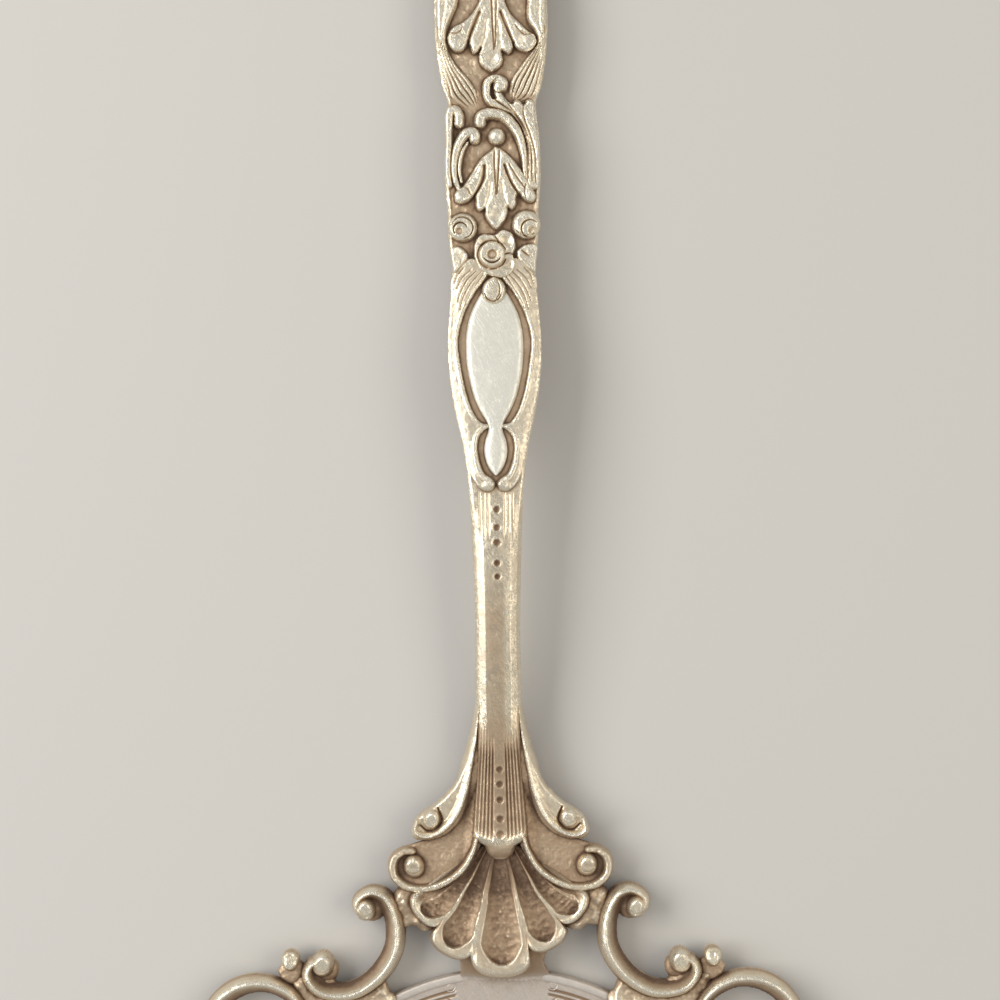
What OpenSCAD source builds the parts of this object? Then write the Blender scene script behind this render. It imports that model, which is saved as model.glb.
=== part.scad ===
// Ornate silver cake server: a sheet blade with a pierced scroll gallery, a scallop shell at its heel
// and an arched handle with applied castings. Lengths are in millimetres. The origin is at the middle
// of the blade's underside, the handle runs along +Y and +Z is up.

/* [Blade] */
// Radius of the round heel
blade_r = 35; // [33:0.5:37]
// Distance between the centres of the heel arc and the tip arc
blade_reach = 53; // [45:1:65]
// Radius of the rounded tip
tip_r = 12; // [8:0.5:18]
// Thickness of the sheet
blade_t = 1.4; // [1:0.1:2]
// Distance of the engraved line from the rim
border_inset = 2.2; // [1.5:0.1:3.5]
// Width of the engraved line
border_w = 0.5; // [0.3:0.1:1]
// Depth of the engraved line
border_depth = 0.2; // [0.1:0.05:0.4]

/* [Gallery] */
// Thickness of the pierced plate under the castings
plate_t = 0.8; // [0.6:0.1:1.2]
// How far the pierced plate laps the rim of the blade
plate_lap = 1.5; // [1:0.1:2.5]
// Half the width of the tab that joins the shell to the heel
tab_half = 5.8; // [5:0.2:7]
// Height of the gallery scrolls
scroll_h = 2.3; // [1.6:0.1:3]
// Half the width of the gallery scrolls
scroll_half = 1.2; // [0.9:0.05:1.3]
// Radius of the volutes that end the gallery scrolls
curl_r = 2; // [1.7:0.1:2.2]
// Radius of the ring scrolls, at the middle of the band
ring_r = 7.2; // [6.2:0.2:7.6]
// Radius of the small buds
bud_r = 1.2; // [0.9:0.1:1.4]

/* [Shell] */
// Distance from the heel of the blade to the hub of the shell
hub_rise = 16; // [15:0.5:17]
// Reach of the middle lobe
shell_reach = 17.4; // [16.5:0.1:18.5]
// Height of the ribs above the pierced plate
shell_h = 2.6; // [2:0.1:3.5]
// Depth of the flutes
flute_depth = 1.1; // [0.5:0.1:1.5]
// Radius of the bare ring round the lip of the handle
hub_r = 2.8; // [2.7:0.1:3.6]
// Radius of the volutes over the shell
shoulder_r = 2.7; // [2.3:0.1:2.8]
// Radius of the volutes beside the shell
cheek_r = 3.2; // [2.8:0.1:3.3]

/* [Stem] */
// Length of the plain stem, from the lip to the cartouche
stem_len = 52; // [44:1:60]
// Half the width of the stem at its narrowest
stem_half = 3.1; // [2.6:0.1:3.4]
// Half the width of the root and of the lip
root_half = 3.4; // [3.2:0.1:3.7]
// Thickness of the stem
stem_t = 3.3; // [2.6:0.1:4]
// Height of the top of the arch over the table
arch_z = 9; // [8:0.2:11]
// Radius of the punched dimples
dimple_r = 0.5; // [0.3:0.05:0.7]
// Depth of the punched dimples
dimple_depth = 0.3; // [0.15:0.05:0.45]
// Distance between dimples
dimple_pitch = 2.3; // [1.8:0.1:2.5]

/* [Handle] */
// Thickness of the bar under the castings
bar_t = 2.8; // [2.2:0.1:3.4]
// Length of the small drop of the cartouche
drop_len = 8; // [7:0.5:10]
// Length of the cartouche plate
field_len = 20.6; // [18:0.2:24]
// Half the width of the cartouche plate
field_half = 4; // [3.4:0.1:4.2]
// Half the width of the bar at the cartouche
cartouche_half = 6.5; // [6.4:0.1:7.5]
// Length of the rose band
rose_len = 10.4; // [10:0.2:12]
// Half the width of the bar at the rose band
rose_half = 6.3; // [6.2:0.1:7]
// Length of the scroll spray
spray_len = 14.6; // [14:0.2:17]
// Half the width of the bar at the scroll spray
spray_half = 6.7; // [6.5:0.1:7.5]
// Length of the crook
crook_len = 4.8; // [4.6:0.1:6]
// Length of the upper leaf
palm_len = 12.6; // [11:0.2:14]
// Half the width of the bar at the upper leaf
palm_half = 7.9; // [7.4:0.1:8.6]
// Length of the end of the handle
terminal_len = 27; // [24:0.5:30]
// Half the width of the end of the handle
terminal_half = 9.4; // [8.8:0.1:10.4]

/* [Castings on the handle] */
// Height of the castings over the bar
relief = 1; // [0.7:0.05:1.4]
// Half the width of the scroll strokes
stroke_half = 0.55; // [0.4:0.05:0.6]
// Radius of the knobs that end the strokes
stroke_knob = 0.7; // [0.5:0.05:0.75]
// Radius of the middle rose
rose_r = 2.4; // [2:0.1:2.6]
// Radius of the side roses
side_rose_r = 1.8; // [1.5:0.1:1.9]
// Radius of the bead over the lower leaf
bead_r = 1.1; // [0.8:0.1:1.2]

/* [Hidden] */
// Solder film between two pieces
film = 0.03;
$fn = 48;
SILVER = [0.78, 0.74, 0.66];
PATINA = [0.56, 0.46, 0.36];

// Levels above the table
plate_z = blade_t + film;
seat_z = plate_z + plate_t + film;

// Places along the blade and the handle. Handle places are measured from the hub of the shell.
heel_cy = (blade_reach + tip_r - blade_r) / 2;
tip_cy = heel_cy - blade_reach;
heel_y = heel_cy + blade_r;
hub_y = heel_y + hub_rise;
drop_v = stem_len;
field_v = drop_v + drop_len;
rose_v = field_v + field_len;
spray_v = rose_v + rose_len;
crook_v = spray_v + spray_len;
palm_v = crook_v + crook_len;
terminal_v = palm_v + palm_len;
end_v = terminal_v + terminal_len;

// Length of the root that lies flat on the pierced plate
root_flat = 2.65 * root_half;

// The ornamented bar is straight and falls from the top of the arch, so that its end touches the table
slope = (arch_z - bar_t) / (end_v - stem_len);
tilt = atan(slope);

// Curves

function mix(a, b, t) = a + (b - a) * t;
function ease(t) = t <= 0 ? 0 : t >= 1 ? 1 : t * t * (3 - 2 * t);

// A point of the smooth curve between b and c, with a and d as its outer neighbours
function between(a, b, c, d, t) =
    0.5 * (2 * b + (c - a) * t + (2 * a - 5 * b + 4 * c - d) * t * t + (3 * b - a - 3 * c + d) * t * t * t);

// A smooth curve through points, with steps to each span
function spline(points, steps) =
    let (last = len(points) - 1)
    concat(
        [for (i = [0:last - 1], j = [0:steps - 1])
            between(points[max(i - 1, 0)], points[i], points[i + 1], points[min(i + 2, last)], j / steps)],
        [points[last]]
    );

// Points of a curl round a centre, from one radius and angle to another
function curl(centre, r0, r1, a0, a1, count) =
    [for (i = [0:count])
        let (t = i / count, a = mix(a0, a1, t)) centre + mix(r0, r1, t) * [cos(a), sin(a)]];

// Points given as shares of a zone's half width and length, placed on the handle
function in_zone(points, half, v0, length) = [for (p = points) [p[0] * half, v0 + p[1] * length]];

function direction(path, i) =
    let (d = path[min(i + 1, len(path) - 1)] - path[max(i - 1, 0)]) d / norm(d);

// Shares of the length of a path at its points
function run_shares(path) =
    let (
        last = len(path) - 1,
        runs = [
            for (i = 0, s = 0; i <= last; s = s + (i < last ? norm(path[i + 1] - path[i]) : 0), i = i + 1) s
        ]
    )
    runs / runs[last];

// Half width of a stroke at share t of its length, from widths at even shares of it
function band_half(t, widths) =
    let (spans = len(widths) - 1, i = min(floor(t * spans), spans - 1))
    mix(widths[i], widths[i + 1], ease(t * spans - i));

// Rings [place, direction, half width] of the knob that ends a stroke
function knob_rings(tip, way, r, half) =
    r == 0 ? [] : [for (a = [40, 75, 105, 135, 165])
        let (d = way / norm(way), bulge = r * sin(a))
        [tip + d * r * (1 - cos(a)), d, a < 60 ? max(half, bulge) : bulge]];

// Solids that follow a curve

// Angles of the points of a half-round section
SECTION = [0, 45, 90, 135, 180];

// A half-round stroke along a plane path, standing on base height z, with a knob of radius knobs[0] at its
// start and knobs[1] at its end. A knob of 0 leaves a plain end.
module stroke(path, widths, height, z = 0, knobs = [0, 0]) {
    last = len(path) - 1;
    share = run_shares(path);
    front = knob_rings(path[0], path[0] - path[1], knobs[0], widths[0]);
    back = knob_rings(path[last], path[last] - path[last - 1], knobs[1], widths[len(widths) - 1]);
    rings = concat(
        [for (i = [len(front) - 1:-1:0]) [front[i][0], -front[i][1], front[i][2]]],
        [for (i = [0:last]) [path[i], direction(path, i), band_half(share[i], widths)]],
        back
    );
    count = len(rings);
    sides = len(SECTION);
    points = [for (r = rings, a = SECTION)
        let (h = height * min(1, 0.3 + 0.7 * r[2] / max(widths)))
        [r[0][0] - r[1][1] * r[2] * cos(a), r[0][1] + r[1][0] * r[2] * cos(a), z + h * sin(a)]];
    faces = concat(
        [[for (k = [0:sides - 1]) k]],
        [[for (k = [sides - 1:-1:0]) (count - 1) * sides + k]],
        [for (i = [0:count - 2], k = [0:sides - 1])
            let (a = i * sides + k, b = i * sides + (k + 1) % sides) [a, a + sides, b + sides]],
        [for (i = [0:count - 2], k = [0:sides - 1])
            let (a = i * sides + k, b = i * sides + (k + 1) % sides) [a, b + sides, b]]
    );
    polyhedron(points, faces);
}

// The flat band under a stroke
module band(path, half) {
    last = len(path) - 1;
    polygon(concat(
        [for (i = [0:last]) let (d = direction(path, i)) path[i] + half * [-d[1], d[0]]],
        [for (i = [last:-1:0]) let (d = direction(path, i)) path[i] - half * [-d[1], d[0]]]
    ));
}

// A fan of lobes, each [direction, reach, half angle], from radius r0 outward. It stands on height z.
// Lobes are domed by crown, or hollowed between ribs by dish, and notch is the reach between two of them.
module fan(lobes, r0, height, crown, dish, notch, z = 0) {
    steps = 6;
    radial = 5;
    last = len(lobes) - 1;
    rays = concat(
        [for (k = [0:last], j = [0:steps - 1]) [k, 2 * j / steps - 1]],
        [[last, 1]]
    );
    count = len(rays);
    top = [for (ray = rays, j = [0:radial])
        let (
            k = ray[0],
            q = ray[1],
            a = lobes[k][0] + q * lobes[k][2],
            next = lobes[q < 0 ? max(k - 1, 0) : min(k + 1, last)][1],
            valley = notch * min(lobes[k][1], next),
            s = j / radial,
            r = mix(r0, mix(lobes[k][1], valley, q * q), s),
            edge = 1 - 0.55 * pow(s, 6),
            h = height * edge * (1 - crown * q * q) - dish * (1 - q * q) * sin(170 * s)
        )
        [r * cos(a), r * sin(a), z + h]];
    row = radial + 1;
    foot = len(top);
    points = concat(
        top,
        [for (i = [0:count - 1]) [top[i * row][0], top[i * row][1], z]],
        [for (i = [0:count - 1]) [top[i * row + radial][0], top[i * row + radial][1], z]]
    );
    faces = concat(
        [for (i = [0:count - 2], j = [0:radial - 1]) let (a = i * row + j) [a, a + row, a + row + 1]],
        [for (i = [0:count - 2], j = [0:radial - 1]) let (a = i * row + j) [a, a + row + 1, a + 1]],
        [for (i = [0:count - 2]) [foot + i, foot + i + 1, (i + 1) * row]],
        [for (i = [0:count - 2]) [foot + i, (i + 1) * row, i * row]],
        [for (i = [0:count - 2])
            let (a = i * row + radial, b = foot + count + i) [a, a + row, b + 1]],
        [for (i = [0:count - 2])
            let (a = i * row + radial, b = foot + count + i) [a, b + 1, b]],
        [for (i = [0:count - 2])
            let (a = foot + i, b = foot + count + i) [a, b, b + 1]],
        [for (i = [0:count - 2])
            let (a = foot + i, b = foot + count + i) [a, b + 1, a + 1]],
        [concat([foot, for (j = [0:radial]) j], [foot + count])],
        [concat([foot + 2 * count - 1], [for (j = [radial:-1:0]) (count - 1) * row + j], [foot + count - 1])]
    );
    polyhedron(points, faces);
}

// A half ball on height z
module half_ball(r, z = 0) {
    translate([0, 0, z])
    intersection() {
        sphere(r);
        translate([-r, -r, 0]) cube([2 * r, 2 * r, r]);
    }
}

// Places the children on the sloping top of the bar
module on_handle() {
    translate([0, hub_y + stem_len, arch_z])
    rotate([-tilt, 0, 0])
    translate([0, -stem_len, 0])
    children();
}

module at_hub() {
    translate([0, hub_y, 0]) children();
}

module at_heel() {
    translate([0, heel_y, 0]) children();
}

module at_arc() {
    translate([0, heel_cy, 0]) children();
}

// Blade

module blade_slab(inset, height) {
    linear_extrude(height)
    hull() {
        translate([0, heel_cy]) circle(blade_r - inset, $fn = 120);
        translate([0, tip_cy]) circle(tip_r - inset, $fn = 72);
    }
}

module blade() {
    color(SILVER)
    difference() {
        blade_slab(0, blade_t);
        translate([0, 0, blade_t - border_depth])
        difference() {
            blade_slab(border_inset, 1);
            translate([0, 0, -1]) blade_slab(border_inset + border_w, 3);
        }
    }
}

// Paths of the gallery, for the left side. Brackets are given as shares of the heel radius from the heel.

function from_heel(points) = points * blade_r;

BRACKET = spline(from_heel([
    [-0.54, 0.312], [-0.5, 0.318], [-0.453, 0.29], [-0.422, 0.21], [-0.42, 0.12], [-0.462, 0.024],
    [-0.535, -0.056], [-0.62, -0.085], [-0.705, -0.068]
]), 3);
BRACKET_TOP = from_heel([[-0.535, 0.258]])[0];
BRACKET_FOOT = from_heel([[-0.722, 0.006]])[0];

// The bud stands between the bracket and the ring
BUD = spline(from_heel([[-0.838, -0.032], [-0.846, -0.012], [-0.852, 0.008]]), 3);

// Ring and side scrolls are given round the centre of the heel arc
ring_at = (blade_r + ring_r + 1.2) * [cos(142.5), sin(142.5)];
ring_eye = ring_at + 0.42 * ring_r * [cos(-25), sin(-25)];
RING = spline(concat(
    [ring_at + (ring_r - 0.5) * [cos(12), sin(12)]],
    curl(ring_at, ring_r, ring_r, 40, 270, 9),
    curl(ring_at, 0.95 * ring_r, 0.62 * ring_r, 300, 338, 1)
), 3);
function round_arc(places) = [for (p = places) (blade_r + p[0]) * [cos(p[1]), sin(p[1])]];
SIDE = spline(round_arc([
    [3.3, 157.6], [2, 161], [1.4, 167], [1.3, 178], [1.4, 189], [1.9, 197], [3.1, 201]
]), 4);
side_eyes = round_arc([[4.4, 156.4], [4.2, 202.2]]);

// Paths beside the handle's root, for the left side, as shares of the root's half width from the hub
SHOULDER = spline(root_half * [
    [-1.03, 6.6], [-1.08, 4.94], [-1.3, 3.4], [-1.74, 2.4], [-2.3, 1.82], [-2.7, 1.58]
], 4);
SHOULDER_EYE = root_half * [-2.85, 1.53];
CHEEK = spline(root_half * [
    [-1.15, 2.18], [-1.34, 1.18], [-1.74, 0.41], [-2.35, -0.06], [-3.06, -0.24]
], 4);
CHEEK_EYE = root_half * [-3.56, -0.24];

// Pierced plate

module sector(r0, r1, a0, a1) {
    steps = 16;
    linear_extrude(plate_t)
    polygon(concat(
        [for (i = [0:steps]) let (a = mix(a0, a1, i / steps)) r1 * [cos(a), sin(a)]],
        [for (i = [steps:-1:0]) let (a = mix(a0, a1, i / steps)) r0 * [cos(a), sin(a)]]
    ));
}

module strip(path, half) {
    linear_extrude(plate_t) band(path, half);
}

module web(points) {
    linear_extrude(plate_t) polygon(points);
}

module pad(at, r) {
    translate(at) cylinder(r = r, h = plate_t);
}

// Points of the arc that the plate laps on the blade
function lap_arc(a0, a1) =
    [for (i = [0:6]) let (a = mix(a0, a1, i / 6)) (blade_r - plate_lap) * [cos(a), sin(a)]];

pad_r = 0.62 * shell_reach;
strip_half = 0.7 * scroll_half;

// The plate under the handle's root and the shell, with the tab that laps the heel of the blade
module root_side() {
    strip(CHEEK, strip_half);
    pad(CHEEK_EYE, 0.7 * cheek_r);
    pad(SHOULDER_EYE, 0.7 * shoulder_r);
    web(concat(
        [[0, root_flat], [-1.5 * root_half, root_flat]],
        root_half * [[-2.6, 1.5], [-3.5, 0], [-2.2, -0.9], [0, -0.3]]
    ));
}

module heel_plate() {
    color(PATINA)
    translate([0, 0, plate_z]) {
        translate([0, hub_y, 0]) {
            root_side();
            mirror([1, 0, 0]) root_side();
            intersection() {
                cylinder(r = pad_r, h = plate_t);
                translate([-shell_reach, -shell_reach, -1]) cube([2 * shell_reach, shell_reach, plate_t + 2]);
            }
        }
        translate([-tab_half, heel_y - plate_lap, 0]) cube([2 * tab_half, 0.62 * hub_rise + plate_lap, plate_t]);
    }
}

// The plate under the scrolls of one side
module gallery_plate_left() {
    color(PATINA)
    translate([0, 0, plate_z])
    difference() {
        union() {
            translate([0, heel_cy, 0]) {
                sector(blade_r - plate_lap, blade_r + 1.3, 118, 200);
                strip(RING, strip_half);
                strip(SIDE, strip_half);
                pad(ring_eye, 0.85 * curl_r);
                for (eye = side_eyes) pad(eye, 0.7 * curl_r);
                // Webs from the bracket, the bud and the ring down to the rim
                web(concat([for (i = [16:24]) BRACKET[i] + [0, blade_r]], lap_arc(128, 117)));
                web(concat(
                    [for (p = [BRACKET[21], BRACKET_FOOT, BUD[1]]) p + [0, blade_r]],
                    [RING[3], RING[0]],
                    lap_arc(140, 127)
                ));
            }
            translate([0, heel_y, 0]) {
                strip(BRACKET, strip_half);
                pad(BRACKET_TOP, 0.85 * curl_r);
                pad(BRACKET_FOOT, 1.2 * curl_r);
                strip(concat([BUD[0] - [0, 2 * bud_r]], BUD), 0.6 * bud_r);
                pad(BUD[0] - [0, 2 * bud_r], bud_r);
                web(from_heel([
                    [-0.2, 0.3], [-0.36, 0.335], [-0.45, 0.28], [-0.43, 0.14], [-0.33, 0.15], [-0.2, 0.2]
                ]));
            }
        }
        translate([0, hub_y, -1]) cylinder(r = pad_r + film, h = plate_t + 2);
    }
}

module gallery_plate_right() {
    mirror([1, 0, 0]) gallery_plate_left();
}

// Castings round the root

// A volute of radius r on height z: a rim, a hollow and a ball at its eye
module volute(at, r, height, z) {
    translate([at[0], at[1], z])
    rotate_extrude()
    polygon([
        [0, 0], [r, 0], [r, 0.5 * height], [0.9 * r, 0.78 * height], [0.76 * r, 0.82 * height],
        [0.62 * r, 0.5 * height],
        [0.52 * r, 0.62 * height], [0.42 * r, 0.88 * height], [0.22 * r, height], [0, 1.04 * height]
    ]);
}

// Lobes of the shell: direction, reach and half angle
SHELL = [for (k = [-2:2])
    [270 + 24.4 * k, shell_reach * (1 - 0.035 * k * k - (k > 0 ? 0.05 : 0)), 12.2]];

module shell() {
    color(SILVER) at_hub()
    translate([0, 1.2, 0])
    fan(SHELL, hub_r, shell_h, 0, flute_depth, 0.94, seat_z);
}

module shoulder_scroll_left() {
    color(SILVER) at_hub() {
        stroke(SHOULDER, [0.15, 0.7, 1.2, 1.6, 1.7], scroll_h + 0.5, seat_z);
        volute(SHOULDER_EYE, shoulder_r, scroll_h, seat_z);
    }
}

module shoulder_scroll_right() {
    mirror([1, 0, 0]) shoulder_scroll_left();
}

module cheek_scroll_left() {
    color(SILVER) at_hub() {
        stroke(CHEEK, [0.2, 0.75, 1.3, 1.8, 2.1], scroll_h, seat_z);
        volute(CHEEK_EYE, cheek_r, scroll_h, seat_z);
    }
}

module cheek_scroll_right() {
    mirror([1, 0, 0]) cheek_scroll_left();
}

// Gallery

module bracket_scroll_left() {
    color(SILVER) at_heel() {
        stroke(BRACKET, [0.8, scroll_half, scroll_half, scroll_half, 0.8], scroll_h, seat_z);
        volute(BRACKET_TOP, curl_r, scroll_h, seat_z);
        volute(BRACKET_FOOT, 1.2 * curl_r, scroll_h, seat_z);
    }
}

module bracket_scroll_right() {
    mirror([1, 0, 0]) bracket_scroll_left();
}

module ring_scroll_left() {
    color(SILVER) at_arc() {
        stroke(RING, [0.5, scroll_half, scroll_half + 0.1, scroll_half, 0.8], scroll_h, seat_z);
        volute(ring_eye, curl_r, scroll_h, seat_z);
    }
}

module ring_scroll_right() {
    mirror([1, 0, 0]) ring_scroll_left();
}

module gallery_bud_left() {
    color(SILVER) at_heel()
    stroke(BUD, [0.45, 0.7, 0.6], scroll_h - 0.3, seat_z, [0, bud_r]);
}

module gallery_bud_right() {
    mirror([1, 0, 0]) gallery_bud_left();
}

module side_scroll_left() {
    color(SILVER) at_arc() {
        stroke(SIDE, [0.7, scroll_half, scroll_half, 0.7], scroll_h - 0.3, seat_z);
        for (eye = side_eyes) volute(eye, curl_r, scroll_h - 0.3, seat_z);
    }
}

module side_scroll_right() {
    mirror([1, 0, 0]) side_scroll_left();
}

// Handle bar

root_top = seat_z + scroll_h + 0.4;

// A curve from height z0, level, to height z1 with slope m at share 1
function rise(z0, z1, m, t) = let (u = min(max(t, 0), 1)) mix(z0, z1, ease(u)) + m * u * u * (u - 1);
function bar_top(v) =
    v > stem_len ? arch_z - slope * (v - stem_len) : rise(root_top, arch_z, -slope * stem_len, v / stem_len);
function bar_under(v) =
    v > stem_len
    ? bar_top(v) - mix(stem_t, bar_t, ease((v - stem_len) / 20))
    : let (span = stem_len - root_flat) rise(seat_z, arch_z - stem_t, -slope * span, (v - root_flat) / span);

// Half widths of the bar along its length
BAR = spline([
    [0, 0.3 * root_half],
    [0.6, 0.66 * root_half],
    [1.4, 0.88 * root_half],
    [2.6, root_half],
    [7, root_half - 0.15],
    [11.6, root_half - 0.35],
    [16.8, root_half - 0.65],
    [20, root_half - 0.5],
    [0.46 * stem_len, mix(root_half, stem_half, 0.4)],
    [0.62 * stem_len, stem_half],
    [0.84 * stem_len, stem_half + 0.3],
    [drop_v, stem_half + 0.7],
    [drop_v + 0.7 * drop_len, mix(stem_half, cartouche_half, 0.4)],
    [field_v + 0.1 * field_len, mix(stem_half, cartouche_half, 0.7)],
    [field_v + 0.35 * field_len, cartouche_half - 0.15],
    [field_v + 0.62 * field_len, cartouche_half],
    [rose_v, mix(cartouche_half, rose_half, 0.5) - 0.5],
    [rose_v + 0.25 * rose_len, rose_half - 0.45],
    [rose_v + 0.6 * rose_len, rose_half],
    [spray_v, rose_half + 0.1],
    [spray_v + 0.33 * spray_len, spray_half],
    [spray_v + 0.7 * spray_len, spray_half - 0.15],
    [crook_v, spray_half - 0.5],
    [crook_v + 0.5 * crook_len, mix(spray_half, palm_half, 0.2)],
    [palm_v, mix(spray_half, palm_half, 0.6)],
    [palm_v + 0.4 * palm_len, palm_half],
    [terminal_v, mix(palm_half, terminal_half, 0.1)],
    [terminal_v + 0.45 * terminal_len, terminal_half],
    [terminal_v + 0.7 * terminal_len, 0.94 * terminal_half],
    [terminal_v + 0.86 * terminal_len, 0.72 * terminal_half],
    [terminal_v + 0.96 * terminal_len, 0.4 * terminal_half],
    [end_v, 0.12 * terminal_half]
], 3);

function bar_ring(v, half) =
    let (
        under = bar_under(v),
        top = bar_top(v),
        bevel = min(0.4 * half, mix(1.2, 0.6, ease((v - stem_len) / 12))),
        mid = mix(under, top, 0.4)
    )
    [for (p = [
        [0.6 * half, under], [-0.6 * half, under], [-half, mid], [-half, top - 0.5 * bevel],
        [bevel - half, top], [half - bevel, top], [half, top - 0.5 * bevel], [half, mid]
    ]) [p[0], hub_y + v, p[1]]];

module handle_bar() {
    count = len(BAR);
    sides = 8;
    points = [for (s = BAR) each bar_ring(s[0], s[1])];
    color(PATINA)
    difference() {
        polyhedron(points, concat(
            [[for (k = [0:sides - 1]) k]],
            [[for (k = [sides - 1:-1:0]) (count - 1) * sides + k]],
            [for (i = [0:count - 2], k = [0:sides - 1])
                let (a = i * sides + k, b = i * sides + (k + 1) % sides) [a, a + sides, b + sides]],
            [for (i = [0:count - 2], k = [0:sides - 1])
                let (a = i * sides + k, b = i * sides + (k + 1) % sides) [a, b + sides, b]]
        ));
        for (i = [0:4]) {
            dimple(stem_len - 3 - i * dimple_pitch);
            dimple(3.4 + i * dimple_pitch);
        }
    }
}

// A punched hollow at place v on top of the bar
module dimple(v) {
    ball = (dimple_r * dimple_r + dimple_depth * dimple_depth) / (2 * dimple_depth);
    translate([0, hub_y + v, bar_top(v) + ball - dimple_depth]) sphere(ball);
}

// Cartouche

FIELD = spline([
    [0.2, 0], [0.46, 0.12], [0.78, 0.28], [0.96, 0.44], [1, 0.57], [0.92, 0.73], [0.64, 0.88], [0.2, 0.97]
], 3);
DROP = spline([[0.12, 0.14], [0.75, 0.3], [1, 0.52], [0.8, 0.76], [0.2, 0.93]], 3);

// A crowned plate with mirrored sides, from a half outline in shares of half and length
module crowned(outline, half, length, crown_r) {
    translate([0, 0, film])
    intersection() {
        linear_extrude(relief)
        polygon(concat(
            [for (p = outline) [p[0] * half, p[1] * length]],
            [for (i = [len(outline) - 1:-1:0]) [-outline[i][0] * half, outline[i][1] * length]]
        ));
        translate([0, length, relief - crown_r])
        rotate([90, 0, 0])
        cylinder(r = crown_r, h = 2 * length, $fn = 96);
    }
}

bud_v = rose_v - 1.6;

module cartouche_plate() {
    color(SILVER) on_handle()
    difference() {
        translate([0, field_v, 0]) crowned(FIELD, field_half, field_len, 14);
        translate([0, bud_v, 0]) cylinder(r = 1.75, h = 4);
    }
}

module cartouche_drop() {
    color(SILVER) on_handle()
    translate([0, drop_v, 0]) crowned(DROP, 1.4, drop_len, 5);
}

// Moulding round both plates, for the left side
FRAME = spline(concat(
    in_zone([[-0.26, 1], [-0.64, 0.92], [-0.85, 0.76], [-0.885, 0.57]], cartouche_half, field_v, field_len),
    in_zone([[-0.85, 0.43], [-0.73, 0.27], [-0.57, 0.12]], cartouche_half, field_v, field_len),
    in_zone([[-2.65, 0.98], [-2.7, 0.74], [-2.7, 0.52], [-2.2, 0.3], [-1.3, 0.14]], 1, drop_v, drop_len)
), 3);

module cartouche_frame_left() {
    color(SILVER) on_handle()
    stroke(FRAME, [0.35, stroke_half, stroke_half + 0.1, stroke_half, 0.45, 0.4], relief, film, [0, 0.6]);
}

module cartouche_frame_right() {
    mirror([1, 0, 0]) cartouche_frame_left();
}

module cartouche_bud() {
    color(SILVER) on_handle()
    stroke(
        spline([[0, bud_v - 1.5], [0, bud_v], [0, bud_v + 1.4]], 5),
        [0.4, 1.35, 0.3], 1.15 * relief, film
    );
}

// Rose band

// A rose of radius r: a raised rim, a hollow and an eye
module rose(r) {
    rotate_extrude()
    polygon([
        [0, 0], [r, 0], [r, 0.35 * relief], [0.88 * r, 0.8 * relief], [0.7 * r, 0.85 * relief],
        [0.6 * r, 0.5 * relief],
        [0.5 * r, 0.95 * relief], [0.3 * r, relief], [0.2 * r, 0.5 * relief], [0, 0.5 * relief]
    ]);
}

module rose_centre() {
    color(SILVER) on_handle()
    translate([0, rose_v + 0.37 * rose_len, film]) rose(rose_r);
}

module rose_left() {
    color(SILVER) on_handle()
    translate([-0.69 * rose_half, rose_v + 0.77 * rose_len, film]) rose(side_rose_r);
}

module rose_right() {
    color(SILVER) on_handle()
    translate([0.71 * rose_half, rose_v + 0.79 * rose_len, film]) rose(side_rose_r);
}

LEAF = [[-0.6, 0.5], [-0.76, 0.34], [-0.84, 0.14]];

module leaf_left() {
    color(SILVER) on_handle()
    stroke(spline(in_zone(LEAF, rose_half, rose_v, rose_len), 5), [0.5, 1, 0.15], 0.9 * relief, film);
}

module leaf_right() {
    mirror([1, 0, 0]) leaf_left();
}

// Scroll spray

// A leaf of five lobes that hangs from its stalk, given by the reach of its middle lobe
module acanthus(reach, spread) {
    fan(
        [for (k = [-2:2]) [270 + spread * k, reach * [1, 0.82, 0.76][abs(k)], spread / 2]],
        0.1 * reach, 1.1 * relief, 0.5, 0, 0.86, film
    );
}

leaf_top = spray_v + 0.59 * spray_len;

module lower_acanthus() {
    color(SILVER) on_handle()
    translate([0.2, leaf_top, 0]) acanthus(0.78 * spray_len, 17);
}

module spray_bead() {
    color(SILVER) on_handle()
    translate([0.7, leaf_top + bead_r + 0.4, film]) half_ball(bead_r);
}

LONG = spline(in_zone([
    [-0.18, 0.83], [-0.12, 0.9], [0.03, 0.93], [0.42, 0.82], [0.64, 0.64], [0.755, 0.42], [0.75, 0.29]
], spray_half, spray_v, spray_len), 3);

module long_scroll() {
    color(SILVER) on_handle()
    stroke(LONG, [0.45, stroke_half, stroke_half, 0.2], relief, film, [stroke_knob, 0]);
}

OUTER = spline(in_zone([
    [-0.71, 0.84], [-0.72, 0.91], [-0.8, 0.945], [-0.875, 0.88], [-0.9, 0.64], [-0.88, 0.36], [-0.8, 0.2]
], spray_half, spray_v, spray_len), 3);

module outer_scroll() {
    color(SILVER) on_handle()
    stroke(OUTER, [0.3, stroke_half - 0.1, stroke_half - 0.1, 0.2], relief, film, [0.45, 0]);
}

INNER = spline(in_zone([
    [-0.37, 0.68], [-0.4, 0.74], [-0.49, 0.76], [-0.63, 0.71], [-0.7, 0.58], [-0.715, 0.44], [-0.68, 0.28]
], spray_half, spray_v, spray_len), 3);

module inner_scroll() {
    color(SILVER) on_handle()
    stroke(INNER, [0.4, stroke_half, stroke_half - 0.1, 0.2], relief, film, [stroke_knob, 0]);
}

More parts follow.
